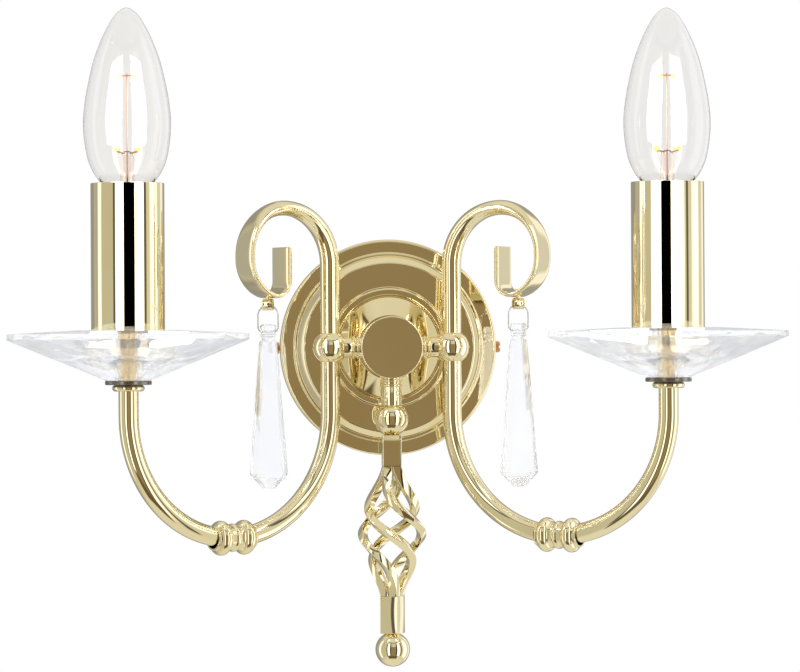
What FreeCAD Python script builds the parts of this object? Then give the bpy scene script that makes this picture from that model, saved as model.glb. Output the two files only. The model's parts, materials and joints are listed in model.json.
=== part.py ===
"""Double arm wall sconce with clear drip pans, candle tubes and hanging drops.

Millimetres. +Z is up, +X is to the right and -Y points out of the wall.
The origin is on the wall plane, behind the centre of the round backplate.
The right-hand arm is modelled once and mirrored for the left-hand one.
Most arm pieces are drawn in the arm's own upright plane, in u (outward) and z.
"""
import FreeCAD, Part
import math
import os
from functools import partial

Vector = FreeCAD.Vector
ORIGIN = Vector(0, 0, 0)
X_AXIS = Vector(1, 0, 0)
Y_AXIS = Vector(0, 1, 0)
Z_AXIS = Vector(0, 0, 1)

# ---------------------------------------------------------------- clearances
SLIP = 0.05             # radial, between a turned piece and the bore that holds it
FREE = 0.30             # between pieces that move past each other
THREAD_ROOM = 0.10      # radial, where one piece is screwed into another

# ---------------------------------------------------------------- wall bracket
BRACKET_SHEET = 1.5
BRACKET_WIDTH = 18.0
BRACKET_TAB_WIDTH = 20.0
BRACKET_TAB_MARGIN = 2.0
BRACKET_EAR_WIDTH = 12.0
BRACKET_EAR_DEPTH = 10.0
BRACKET_SIDE_GAP = 0.5          # ear to the inside of the backplate's rim
WALL_SLOT_SPACING = 60.0
WALL_SLOT_WIDTH = 5.0
WALL_SLOT_LENGTH = 10.0

# ---------------------------------------------------------------- backplate
PLATE_RADIUS = 45.3
PLATE_SHEET = 1.0
PLATE_WALL_GAP = 0.5
PLATE_RIM_DEPTH = 12.0          # wall to the flat outer annulus
PLATE_RIM_BEVEL = 1.2
PLATE_STEP_OUTER_RADIUS = 39.5
PLATE_STEP_INNER_RADIUS = 34.8
PLATE_SHOULDER_DEPTH = 18.0     # wall to the inner annulus
PLATE_BEAD_OUTER_RADIUS = 25.1
PLATE_BEAD_INNER_RADIUS = 21.4
PLATE_BEAD_HEIGHT = 2.0
PLATE_SEAT_RADIUS = 13.4
PLATE_SEAT_DEPTH = 25.0         # wall to the flat that the hub sits on

# ---------------------------------------------------------------- side screws
SIDE_SCREW_RADIUS = 1.25
SIDE_SCREW_LENGTH = 7.0
SIDE_SCREW_DEPTH = 6.0          # wall to the screw's axis
SIDE_SCREW_HEAD_RADIUS = 2.35
SIDE_SCREW_HEAD_HEIGHT = 1.9
SIDE_SCREW_HEAD_GAP = 0.3       # head to the rounded rim
SCREW_SLOT_WIDTH = 0.6
SCREW_SLOT_DEPTH = 0.7

# ---------------------------------------------------------------- terminal block
TERMINAL_WIDTH = 18.0
TERMINAL_HEIGHT = 16.0
TERMINAL_DEPTH = 11.0
TERMINAL_BOTTOM = 14.0
TERMINAL_POLE_X = 4.0
TERMINAL_HOLE_DEPTH = 7.5       # wall to the axis of the lead holes
TERMINAL_SCREW_RADIUS = 1.2
TERMINAL_SCREW_INSET = 4.0      # end of the block to its nearer screws
EARTH_SCREW_X = 17.0
EARTH_SCREW_RADIUS = 2.0
EARTH_HEAD_RADIUS = 3.8
EARTH_HEAD_HEIGHT = 2.4

# ---------------------------------------------------------------- hub
HUB_RADIUS = 12.5
HUB_DEPTH = 11.5                # seat to front rim
HUB_BACK_WALL = 2.5
HUB_CAVITY_RADIUS = 8.0
HUB_EDGE = 0.5
CAP_RADIUS = 12.9
CAP_THICKNESS = 1.8
CAP_EDGE = 0.6
CAP_PLUG_LENGTH = 2.0
NIPPLE_RADIUS = 5.0
NIPPLE_BORE_RADIUS = 3.6
NIPPLE_TAIL = 6.0               # length behind the seat
LOCKNUT_FLATS = 14.0
LOCKNUT_HEIGHT = 2.6

# ---------------------------------------------------------------- stubs and balls
ROOT_DEPTH = 30.0               # wall to the plane of stubs, balls and pendant
ROOT_X = 25.3                   # centre line to each arm root ball
BALL_RADIUS = 7.2
BALL_STUB_SEAT = 5.0            # ball centre to the end of the stub inside it
BALL_TUBE_SEAT = 4.5            # ball centre to the end of a tube inside it
BALL_PASSAGE_RADIUS = 2.6
STUB_RADIUS = 4.3
STUB_BORE_RADIUS = 3.0
STUB_HUB_SEAT = 10.0            # hub axis to the end of the stub inside it
STUB_BEAD_RADIUS = 4.75
STUB_BEAD_WIDTH = 1.1
STUB_BEAD_GAP = 0.8

# ---------------------------------------------------------------- arms
ARM_ANGLE = 34.0                # degrees that each arm plane stands out from the wall
ARM_TUBE_RADIUS = 4.0
ARM_TUBE_WALL = 1.0
ARM_DROP = 27.0                 # ball centre to the start of the bend
ARM_BEND_RADIUS = 50.0
ARM_TOP = -16.0                 # height of the tube's upper end
ARM_END_GAP = 1.0               # between the two tubes inside the knuckle
KNUCKLE_BEAD_RADIUS = 7.1
KNUCKLE_BEAD_WIDTH = 5.2
KNUCKLE_BEAD_SPACING = 11.5
KNUCKLE_NECK_RADIUS = 5.75
KNUCKLE_LIP_RADIUS = 5.1
KNUCKLE_LIP_WIDTH = 1.3

# ---------------------------------------------------------------- scroll
SCROLL_RISE = 34.2              # ball centre to the start of the first curve
SCROLL_ARCH_RADIUS = 23.2
SCROLL_SHOULDER_RADIUS = 19.6
SCROLL_FALL = 1.5
SCROLL_BELLY_RADIUS = 15.5
SCROLL_BELLY_TURN = 72.0        # degrees
SCROLL_CURL_RADIUS = 6.0
SCROLL_TAIL = 14.0
SCROLL_STRIP_THICKNESS = 1.95
SCROLL_STRIP_WIDTH = 12.2
SCROLL_TOP_THICKNESS = 6.2
SCROLL_TOP_WIDTH = 9.6
SCROLL_BORE_LENGTH = 24.0
SCROLL_SQUARENESS = 0.45        # 0 leaves the flat strip's edges fully oval
SCROLL_STEP = 4.0               # spacing of the sections along the scroll
SCROLL_SIDES = 16               # facets round the scroll's section

# ---------------------------------------------------------------- candle stack
COLLAR_RADIUS = 6.5
COLLAR_HEIGHT = 2.6
COLLAR_LAP = 1.1                # length of collar below the arm's end
WASHER_RADIUS = 9.3
WASHER_THICKNESS = 1.8
SPIGOT_PLUG_LENGTH = 8.0
SPIGOT_RADIUS = 4.0
SPIGOT_BORE_RADIUS = 2.0
SPIGOT_HOLDER_LENGTH = 8.0      # length inside the lampholder
PAN_RADIUS = 48.2
PAN_HEIGHT = 15.9               # neck to the lower edge of the rim
PAN_RIM = 2.6
PAN_CROWN = 1.5                 # rise of the top face from rim to middle
PAN_NECK_RADIUS = 9.3
PAN_FLAT_RADIUS = 20.0
PAN_HOLE_CLEARANCE = 0.5
PAN_FACETS = 16
PAN_FACET_BREAK = 0.62          # share of the radius where the two facet rows meet
PAN_FACET_STEP = 1.1            # how far the lower row stands out there
NUT_FLATS = 13.0
NUT_HEIGHT = 3.0

# ---------------------------------------------------------------- candle and lamp
CANDLE_RADIUS = 14.7
CANDLE_WALL = 0.8
HOLDER_RADIUS = 12.0
HOLDER_FLANGE_HEIGHT = 3.0
HOLDER_BELOW_MOUTH = 4.6        # top of the holder under the mouth of the tube
HOLDER_CHAMBER = 5.0            # room for the lead between the spigot and the bridge
HOLDER_BRIDGE = 7.0             # thickness of the bridge that guides the contact
LAMP_RADIUS = 17.5
LAMP_LENGTH = 98.0
LAMP_SHELL_SHOWS = 0.4          # upper edge of the screw shell over the top of the holder
LAMP_CAP_RADIUS = 7.0
LAMP_CAP_SHELL = 19.0
LAMP_CAP_CONE = 3.2
LAMP_TIP_RADIUS = 2.2
LAMP_TIP_HEIGHT = 1.6
LAMP_NECK_RADIUS = 7.4
LAMP_GLASS_WALL = 0.8
LAMP_WIDEST_SHARE = 0.355       # of the glass's height, up to its widest ring
LAMP_STEM_RADIUS = 2.6
LAMP_STEM_HEIGHT = 17.0
FILAMENT_COUNT = 4
FILAMENT_RADIUS = 0.7
FILAMENT_LENGTH = 30.0
FILAMENT_CIRCLE = 6.0
FILAMENT_LEAN = 2.0
LEAD_WIRE_RADIUS = 0.3
LEAD_WIRE_ROOT = 1.0            # length of wire inside the glass stem
CONTACT_HEAD_RADIUS = 3.0
CONTACT_HEAD_HEIGHT = 1.2
CONTACT_STEM_RADIUS = 1.8
CONTACT_STAND = 7.5             # bridge to the foot of the lamp

# ---------------------------------------------------------------- hanging drop
EYELET_U = 31.5                 # arm root to the eyelet, in the arm plane
EYELET_RADIUS = 2.3
EYELET_BORE_RADIUS = 1.5
EYELET_LENGTH = 4.4
EYELET_SHANK_RADIUS = 1.0
EYELET_HEAD_RADIUS = 1.4
EYELET_HEAD_HEIGHT = 0.8
DROP_TURN = 12.0                # degrees that drop and ring face outward
RING_WIRE_RADIUS = 0.3
RING_ARC_RADIUS = 4.2
RING_CORNER_RADIUS = 2.0
RING_HEIGHT = 10.8
DROP_HOLE_RADIUS = 1.0
DROP_COUNTERSINK_RADIUS = 1.7
DROP_COUNTERSINK_DEPTH = 1.0
DROP_HEAD_WIDTH = 6.6
DROP_HEAD_DEPTH = 5.2
DROP_HEAD_ABOVE = 3.5           # hole to the top of the head
DROP_HEAD_BELOW = 2.2
DROP_NECK_WIDTH = 5.0
DROP_NECK_DEPTH = 3.8
DROP_NECK_HEIGHT = 0.8
DROP_TOP_WIDTH = 7.2
DROP_TOP_DEPTH = 5.6
DROP_BODY_HEIGHT = 55.0
DROP_BODY_WIDTH = 15.5
DROP_BODY_DEPTH = 8.0
DROP_POINT_HEIGHT = 5.7
DROP_POINT_WIDTH = 5.0
DROP_POINT_DEPTH = 1.2
DROP_BEVEL_SHARE = 0.2          # of the width, taken by each side bevel
DROP_BEVEL_DEPTH_SHARE = 0.36   # of the depth, taken by each side bevel

# ---------------------------------------------------------------- pendant
PENDANT_BALL_Z = -29.7
BALL_FLAT = 0.6                 # depth of the flat ground on a ball for a square bar
BAR_SIDE = 8.0
BAR_STUD_RADIUS = 1.8
BAR_STUD_LENGTH = 4.5
TOP_BAR_LENGTH = 13.0
BASKET_LENGTH = 53.7
BASKET_RADIUS = 14.1            # to the outside of the rods
BASKET_RODS = 4
BASKET_ROD_SIDE = 3.8
BASKET_TWIST = 270.0            # degrees
BASKET_STEPS = 20
BASKET_SWELL_POWER = 1.6        # higher keeps the rods together for longer at each end
LOWER_BAR_LENGTH = 15.6

# ---------------------------------------------------------------- leads
LEAD_RADIUS = 1.2
LEAD_NIPPLE_X = 1.6
LEAD_TURN_RADIUS = 5.0
LEAD_HUB_TURN_RADIUS = 4.0
LEAD_START_HEIGHT = 6.0         # length of lead inside the terminal block
LEAD_TERMINAL_RUN = 2.0
LEAD_HOLDER_TAIL = 3.5          # length of lead past the spigot

# ---------------------------------------------------------------- derived places
candle_u = 2 * ARM_BEND_RADIUS
bend_z = -ARM_DROP
collar_top_z = ARM_TOP + COLLAR_HEIGHT - COLLAR_LAP
washer_top_z = collar_top_z + WASHER_THICKNESS
pan_rim_z = washer_top_z + PAN_HEIGHT
pan_top_z = pan_rim_z + PAN_RIM + PAN_CROWN
holder_foot_z = pan_top_z + NUT_HEIGHT
spigot_top_z = holder_foot_z + SPIGOT_HOLDER_LENGTH
bridge_z = spigot_top_z + HOLDER_CHAMBER
socket_z = bridge_z + HOLDER_BRIDGE
lamp_foot_z = socket_z + CONTACT_STAND
lamp_tip_z = lamp_foot_z + LAMP_LENGTH
lamp_shell_top_z = lamp_foot_z + LAMP_TIP_HEIGHT + LAMP_CAP_CONE + LAMP_CAP_SHELL
holder_top_z = lamp_shell_top_z - LAMP_SHELL_SHOWS
candle_mouth_z = holder_top_z + HOLDER_BELOW_MOUTH
candle_bore_radius = CANDLE_RADIUS - CANDLE_WALL


# ================================================================ helpers
def moved(shape, x=0.0, y=0.0, z=0.0):
    """A copy of the shape, moved."""
    copy = shape.copy()
    copy.translate(Vector(x, y, z))
    return copy


def turned(shape, degrees, axis=Z_AXIS, about=ORIGIN):
    """A copy of the shape, turned about an axis."""
    copy = shape.copy()
    copy.rotate(about, axis, degrees)
    return copy


def revolved(stations, axis=Z_AXIS):
    """A turned solid from (radius, distance along the axis) stations."""
    points = [Vector(radius, 0, 0) + axis * along for radius, along in stations]
    face = Part.Face(Part.makePolygon(points + [points[0]]))
    return face.revolve(ORIGIN, axis, 360)


def ring(outer, inner, low, high):
    """A plain ring about Z."""
    return revolved([(inner, low), (outer, low), (outer, high), (inner, high)])


def cylinder(radius, start, end):
    """A cylinder between two points."""
    axis = end - start
    return Part.makeCylinder(radius, axis.Length, start, axis)


def block(width, depth, height, centre):
    """A box about its centre."""
    corner = centre - Vector(width, depth, height) * 0.5
    return Part.makeBox(width, depth, height, corner)


def hexagon(flats, low, high, bore):
    """A hexagonal nut about Z with a round bore."""
    corner = flats / 2 / math.cos(math.radians(30))
    points = []
    for step in range(7):
        angle = math.radians(60 * step)
        points.append(Vector(corner * math.cos(angle), corner * math.sin(angle), low))
    prism = Part.Face(Part.makePolygon(points)).extrude(Z_AXIS * (high - low))
    return prism.cut(Part.makeCylinder(bore, high - low, Z_AXIS * low))


def offset_stations(stations, distance):
    """Stations moved to the right of their line of travel by one distance."""
    normals = []
    for (r0, a0), (r1, a1) in zip(stations, stations[1:]):
        length = math.hypot(r1 - r0, a1 - a0)
        normals.append(((a1 - a0) / length, (r0 - r1) / length))
    result = []
    for index, (radius, along) in enumerate(stations):
        before = normals[max(index - 1, 0)]
        after = normals[min(index, len(normals) - 1)]
        mitre = 1 + before[0] * after[0] + before[1] * after[1]
        result.append((radius + distance * (before[0] + after[0]) / mitre,
                       along + distance * (before[1] + after[1]) / mitre))
    return result


def rounded_edges(points, radii):
    """Straight edges through the points, with a tangent arc at each inner point."""
    edges = []
    start = points[0]
    for before, corner, after, radius in zip(points, points[1:], points[2:], radii):
        back = (before - corner).normalize()
        ahead = (after - corner).normalize()
        half = math.acos(max(-1.0, min(1.0, back.dot(ahead)))) / 2
        reach = radius / math.tan(half)
        middle = (back + ahead).normalize()
        centre = corner + middle * (radius / math.sin(half))
        enter = corner + back * reach
        leave = corner + ahead * reach
        edges.append(Part.LineSegment(start, enter).toShape())
        edges.append(Part.Arc(enter, centre - middle * radius, leave).toShape())
        start = leave
    edges.append(Part.LineSegment(start, points[-1]).toShape())
    return edges


def round_sweep(edges, radius):
    """A solid round bar along a path of edges."""
    path = Part.Wire(edges)
    first = edges[0]
    tangent = first.tangentAt(first.FirstParameter)
    start = first.valueAt(first.FirstParameter)
    profile = Part.Wire(Part.makeCircle(radius, start, tangent))
    return path.makePipeShell([profile], True, False)


def polar(centre_u, centre_z, radius, degrees):
    """A point on a circle in the arm plane."""
    angle = math.radians(degrees)
    return Vector(centre_u + radius * math.cos(angle), 0, centre_z + radius * math.sin(angle))


def on_arm(shape):
    """Place a shape drawn in the arm plane on the right-hand arm root."""
    return moved(turned(shape, -ARM_ANGLE), ROOT_X, -ROOT_DEPTH, 0)


def arm_position(u):
    """World x and y of a distance along the right-hand arm plane."""
    angle = math.radians(ARM_ANGLE)
    return ROOT_X + u * math.cos(angle), -ROOT_DEPTH - u * math.sin(angle)


def on_candle(shape):
    """Place a shape drawn about Z on the right-hand candle's axis."""
    x, y = arm_position(candle_u)
    return moved(shape, x, y)


def on_drop(shape):
    """Place a shape drawn about the ring's plane under the right-hand eyelet."""
    x, y = arm_position(EYELET_U)
    return moved(turned(shape, DROP_TURN), x, y)


def mirrored(shape):
    """The left-hand copy of a right-hand shape."""
    return shape.mirror(ORIGIN, X_AXIS)


def write(node, shape):
    """Write one piece, or a group of like pieces, to its own file."""
    if not shape.isValid():
        raise ValueError(node + " is not a valid solid")
    shape.exportStep("parts/" + node + ".step")
    print(node, len(shape.Solids), round(shape.Volume, 1))


def write_pair(piece, shape):
    """Write the right-hand piece and its left-hand twin."""
    write("right_" + piece, shape)
    write("left_" + piece, mirrored(shape))


# ================================================================ wall fixing
def plate_outline():
    """Front surface of the backplate as (radius, depth from the wall) stations."""
    bead_middle = (PLATE_BEAD_OUTER_RADIUS + PLATE_BEAD_INNER_RADIUS) / 2
    bead_flat = (PLATE_BEAD_OUTER_RADIUS - PLATE_BEAD_INNER_RADIUS) / 5
    bead_depth = PLATE_SHOULDER_DEPTH + PLATE_BEAD_HEIGHT
    return [
        (PLATE_RADIUS, PLATE_WALL_GAP),
        (PLATE_RADIUS, PLATE_RIM_DEPTH - PLATE_RIM_BEVEL),
        (PLATE_RADIUS - PLATE_RIM_BEVEL, PLATE_RIM_DEPTH),
        (PLATE_STEP_OUTER_RADIUS, PLATE_RIM_DEPTH),
        (PLATE_STEP_INNER_RADIUS, PLATE_SHOULDER_DEPTH),
        (PLATE_BEAD_OUTER_RADIUS, PLATE_SHOULDER_DEPTH),
        (bead_middle + bead_flat, bead_depth),
        (bead_middle - bead_flat, bead_depth),
        (PLATE_BEAD_INNER_RADIUS, PLATE_SHOULDER_DEPTH + PLATE_SHEET),
        (PLATE_SEAT_RADIUS, PLATE_SEAT_DEPTH),
        (NIPPLE_RADIUS + THREAD_ROOM, PLATE_SEAT_DEPTH),
    ]


def side_screw_axis(side):
    """Start and direction of a side screw, at the rim."""
    start = Vector(side * PLATE_RADIUS, -SIDE_SCREW_DEPTH, 0)
    return start, Vector(-side, 0, 0)


def backplate():
    """Spun sheet plate, open towards the wall."""
    outer = plate_outline()
    inner = offset_stations(outer, -PLATE_SHEET)
    inner[0] = (PLATE_RADIUS - PLATE_SHEET, PLATE_WALL_GAP)
    inner[-1] = (outer[-1][0], PLATE_SEAT_DEPTH - PLATE_SHEET)
    shell = revolved(outer + inner[::-1], -Y_AXIS)
    for side in (-1, 1):
        start, inward = side_screw_axis(side)
        hole_radius = SIDE_SCREW_RADIUS + THREAD_ROOM
        hole = cylinder(hole_radius, start - inward, start + inward * 3 * PLATE_SHEET)
        shell = shell.cut(hole)
    return shell


def bracket_half_length():
    """Centre line to the outside of a bracket ear, inside the round rim."""
    rim = PLATE_RADIUS - PLATE_SHEET
    return math.sqrt(rim ** 2 - (BRACKET_EAR_WIDTH / 2) ** 2) - BRACKET_SIDE_GAP


def wall_bracket():
    """Sheet strap with slots for the wall screws, two ears and a tab."""
    half = bracket_half_length()
    middle = -BRACKET_SHEET / 2
    rim = PLATE_RADIUS - PLATE_SHEET - BRACKET_SIDE_GAP
    strap_half = min(half, math.sqrt(rim ** 2 - (BRACKET_WIDTH / 2) ** 2))
    strap = block(2 * strap_half, BRACKET_SHEET, BRACKET_WIDTH, Vector(0, middle, 0))
    tab_top = TERMINAL_BOTTOM + TERMINAL_HEIGHT + BRACKET_TAB_MARGIN
    tab = block(BRACKET_TAB_WIDTH, BRACKET_SHEET, tab_top, Vector(0, middle, tab_top / 2))
    bracket = strap.fuse(tab)
    for side in (-1, 1):
        ear_middle = Vector(side * (half - BRACKET_SHEET / 2), -BRACKET_EAR_DEPTH / 2, 0)
        bracket = bracket.fuse(block(BRACKET_SHEET, BRACKET_EAR_DEPTH, BRACKET_EAR_WIDTH, ear_middle))
    for side in (-1, 1):
        start, inward = side_screw_axis(side)
        reach = SIDE_SCREW_LENGTH + BRACKET_SHEET
        bracket = bracket.cut(cylinder(SIDE_SCREW_RADIUS + THREAD_ROOM, start, start + inward * reach))
        bracket = bracket.cut(wall_slot(side * WALL_SLOT_SPACING / 2))
    earth = Vector(EARTH_SCREW_X, 0, 0)
    earth_hole = cylinder(EARTH_SCREW_RADIUS + THREAD_ROOM, earth, earth - Y_AXIS * BRACKET_SHEET)
    return bracket.cut(earth_hole).removeSplitter()


def wall_slot(centre_x):
    """Cutter for one slot, long in X."""
    radius = WALL_SLOT_WIDTH / 2
    straight = WALL_SLOT_LENGTH - WALL_SLOT_WIDTH
    cutter = block(straight, BRACKET_SHEET, WALL_SLOT_WIDTH, Vector(centre_x, -BRACKET_SHEET / 2, 0))
    for end in (-1, 1):
        centre = Vector(centre_x + end * straight / 2, 0, 0)
        cutter = cutter.fuse(cylinder(radius, centre, centre - Y_AXIS * BRACKET_SHEET))
    return cutter


def pan_head_screw(radius, length, head_radius, head_height, start, inward):
    """Slotted screw: the shank starts at the head's underside."""
    shank = cylinder(radius, start, start + inward * length)
    edge = head_height / 3
    outward = inward * -1
    dome_foot = start + outward * (head_height - edge)
    head = cylinder(head_radius, start, dome_foot)
    dome = Part.makeCone(head_radius, head_radius - edge, edge, dome_foot, outward)
    slot = block(3 * head_radius, 3 * head_radius, SCREW_SLOT_WIDTH, ORIGIN)
    keep = cylinder(head_radius * 2, start + outward * (head_height - SCREW_SLOT_DEPTH),
                    start + outward * (head_height + SCREW_SLOT_DEPTH))
    slot.translate(start + outward * head_height)
    return shank.fuse(head).fuse(dome).cut(slot.common(keep))


def side_screws():
    """The two small screws that hold the backplate on the bracket's ears."""
    screws = []
    for side in (-1, 1):
        start, inward = side_screw_axis(side)
        start = start - inward * SIDE_SCREW_HEAD_GAP
        screws.append(pan_head_screw(SIDE_SCREW_RADIUS, SIDE_SCREW_LENGTH, SIDE_SCREW_HEAD_RADIUS,
                                     SIDE_SCREW_HEAD_HEIGHT, start, inward))
    return Part.makeCompound(screws)


def terminal_screw_places():
    """Screw axes of the terminal block: two poles, two screws each."""
    low = TERMINAL_BOTTOM + TERMINAL_SCREW_INSET
    high = TERMINAL_BOTTOM + TERMINAL_HEIGHT - TERMINAL_SCREW_INSET
    return [(x, z) for x in (-TERMINAL_POLE_X, TERMINAL_POLE_X) for z in (low, high)]


def terminal_block():
    """Two-pole block on the bracket's tab, with the lead holes upright."""
    depth_middle = BRACKET_SHEET + TERMINAL_DEPTH / 2
    height_middle = TERMINAL_BOTTOM + TERMINAL_HEIGHT / 2
    body = block(TERMINAL_WIDTH, TERMINAL_DEPTH, TERMINAL_HEIGHT, Vector(0, -depth_middle, height_middle))
    for x in (-TERMINAL_POLE_X, TERMINAL_POLE_X):
        foot = Vector(x, -TERMINAL_HOLE_DEPTH, TERMINAL_BOTTOM)
        body = body.cut(cylinder(LEAD_RADIUS + FREE, foot, foot + Z_AXIS * TERMINAL_HEIGHT))
    for x, z in terminal_screw_places():
        front = Vector(x, -BRACKET_SHEET - TERMINAL_DEPTH, z)
        tip = Vector(x, -TERMINAL_HOLE_DEPTH, z)
        body = body.cut(cylinder(TERMINAL_SCREW_RADIUS + THREAD_ROOM, front, tip))
    return body


def terminal_screws():
    """Grub screws that press on the leads."""
    screws = []
    for x, z in terminal_screw_places():
        tip = Vector(x, -TERMINAL_HOLE_DEPTH - LEAD_RADIUS - THREAD_ROOM, z)
        front = Vector(x, -BRACKET_SHEET - TERMINAL_DEPTH + SCREW_SLOT_DEPTH, z)
        screw = cylinder(TERMINAL_SCREW_RADIUS, front, tip)
        slot = block(3 * TERMINAL_SCREW_RADIUS, SCREW_SLOT_DEPTH, SCREW_SLOT_WIDTH, front)
        screws.append(screw.cut(slot))
    return Part.makeCompound(screws)


def earth_screw():
    """Earth terminal on the strap."""
    start = Vector(EARTH_SCREW_X, -BRACKET_SHEET, 0)
    return pan_head_screw(EARTH_SCREW_RADIUS, BRACKET_SHEET - THREAD_ROOM, EARTH_HEAD_RADIUS,
                          EARTH_HEAD_HEIGHT, start, Y_AXIS)


# ================================================================ hub
def outward_from_hub(shape):
    """Turn a shape drawn along Z into the hub's depth, seat at its zero."""
    return moved(turned(shape, 90, X_AXIS), 0, -PLATE_SEAT_DEPTH, 0)


def hub_body():
    """Turned hub, open in front, with a bore for each stub."""
    body = revolved([
        (NIPPLE_RADIUS + SLIP, 0), (HUB_RADIUS - HUB_EDGE, 0), (HUB_RADIUS, HUB_EDGE),
        (HUB_RADIUS, HUB_DEPTH), (HUB_CAVITY_RADIUS, HUB_DEPTH),
        (HUB_CAVITY_RADIUS, HUB_BACK_WALL), (NIPPLE_RADIUS + SLIP, HUB_BACK_WALL)])
    body = outward_from_hub(body)
    axis_point = Vector(0, -ROOT_DEPTH, 0)
    for direction in (X_AXIS, -X_AXIS, -Z_AXIS):
        seat = axis_point + direction * STUB_HUB_SEAT
        outside = axis_point + direction * (HUB_RADIUS + STUB_RADIUS)
        body = body.cut(cylinder(STUB_RADIUS + SLIP, seat, outside))
        inside = axis_point + direction * (HUB_CAVITY_RADIUS / 2)
        body = body.cut(cylinder(STUB_BORE_RADIUS, inside, outside))
    return body


def hub_cap():
    """Flat front disc, pushed into the hub."""
    plug_radius = HUB_CAVITY_RADIUS - SLIP
    cap = revolved([
        (0, HUB_DEPTH - CAP_PLUG_LENGTH), (plug_radius, HUB_DEPTH - CAP_PLUG_LENGTH),
        (plug_radius, HUB_DEPTH), (CAP_RADIUS, HUB_DEPTH),
        (CAP_RADIUS, HUB_DEPTH + CAP_THICKNESS - CAP_EDGE),
        (CAP_RADIUS - CAP_EDGE, HUB_DEPTH + CAP_THICKNESS), (0, HUB_DEPTH + CAP_THICKNESS)])
    return outward_from_hub(cap)


def hub_nipple():
    """Hollow threaded tube that holds the hub on the backplate."""
    return outward_from_hub(ring(NIPPLE_RADIUS, NIPPLE_BORE_RADIUS, -NIPPLE_TAIL, HUB_BACK_WALL))


def hub_locknut():
    """Nut behind the backplate."""
    behind = -PLATE_SHEET
    nut = hexagon(LOCKNUT_FLATS, behind - LOCKNUT_HEIGHT, behind, NIPPLE_RADIUS + THREAD_ROOM)
    return outward_from_hub(nut)


def stub(ball_centre):
    """Short tube from the hub to a ball, drawn along Z from the hub's axis."""
    bead_start = HUB_RADIUS + STUB_BEAD_GAP
    stations = [(STUB_BORE_RADIUS, STUB_HUB_SEAT), (STUB_RADIUS, STUB_HUB_SEAT)]
    for bead in range(2):
        low = bead_start + bead * (STUB_BEAD_WIDTH + STUB_BEAD_GAP)
        edge = (STUB_BEAD_RADIUS - STUB_RADIUS) / 2
        stations += [(STUB_RADIUS, low), (STUB_BEAD_RADIUS, low + edge),
                     (STUB_BEAD_RADIUS, low + STUB_BEAD_WIDTH - edge), (STUB_RADIUS, low + STUB_BEAD_WIDTH)]
    end = ball_centre - BALL_STUB_SEAT
    stations += [(STUB_RADIUS, end), (STUB_BORE_RADIUS, end)]
    return revolved(stations)


def side_stub():
    """Right-hand stub."""
    return moved(turned(stub(ROOT_X), 90, Y_AXIS), 0, -ROOT_DEPTH, 0)


def bottom_stub():
    """Stub that carries the pendant."""
    return moved(turned(stub(-PENDANT_BALL_Z), 180, Y_AXIS), 0, -ROOT_DEPTH, 0)


def drilled_ball(stub_direction, tube_directions):
    """Ball about the origin with a stub seat, tube seats and lead passages."""
    ball = Part.makeSphere(BALL_RADIUS)
    past = 2 * BALL_RADIUS
    seats = [(stub_direction, STUB_RADIUS, BALL_STUB_SEAT)]
    seats += [(direction, ARM_TUBE_RADIUS, BALL_TUBE_SEAT) for direction in tube_directions]
    for direction, radius, seat in seats:
        outside = direction * past
        ball = ball.cut(cylinder(radius + SLIP, direction * seat, outside))
        ball = ball.cut(cylinder(BALL_PASSAGE_RADIUS, direction * -BALL_PASSAGE_RADIUS, outside))
    return ball


def root_ball():
    """Ball at the right-hand arm root."""
    return moved(drilled_ball(-X_AXIS, (Z_AXIS, -Z_AXIS)), ROOT_X, -ROOT_DEPTH, 0)


# ================================================================ arms
def arm_bend(start_degrees, end_degrees):
    """Arc of the arm's bend, between two angles in the arm plane."""
    middle = (start_degrees + end_degrees) / 2
    points = [polar(ARM_BEND_RADIUS, bend_z, ARM_BEND_RADIUS, angle)
              for angle in (start_degrees, middle, end_degrees)]
    return Part.Arc(*points).toShape()


def end_gap_degrees():
    """Angle on the bend of half the gap between the two tubes."""
    return math.degrees(ARM_END_GAP / 2 / ARM_BEND_RADIUS)


def tube_along(edges):
    """Arm tube along a path in the arm plane."""
    outside = round_sweep(edges, ARM_TUBE_RADIUS)
    inside = round_sweep(edges, ARM_TUBE_RADIUS - ARM_TUBE_WALL)
    return on_arm(outside.cut(inside))


def arm_inner():
    """Tube from the root ball down to the knuckle."""
    drop = Part.LineSegment(Vector(0, 0, -BALL_TUBE_SEAT), Vector(0, 0, bend_z)).toShape()
    return tube_along([drop, arm_bend(180, 270 - end_gap_degrees())])


def arm_outer():
    """Tube from the knuckle up to the drip pan's collar."""
    rise = Part.LineSegment(Vector(candle_u, 0, bend_z), Vector(candle_u, 0, ARM_TOP)).toShape()
    return tube_along([arm_bend(270 + end_gap_degrees(), 360), rise])


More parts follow.
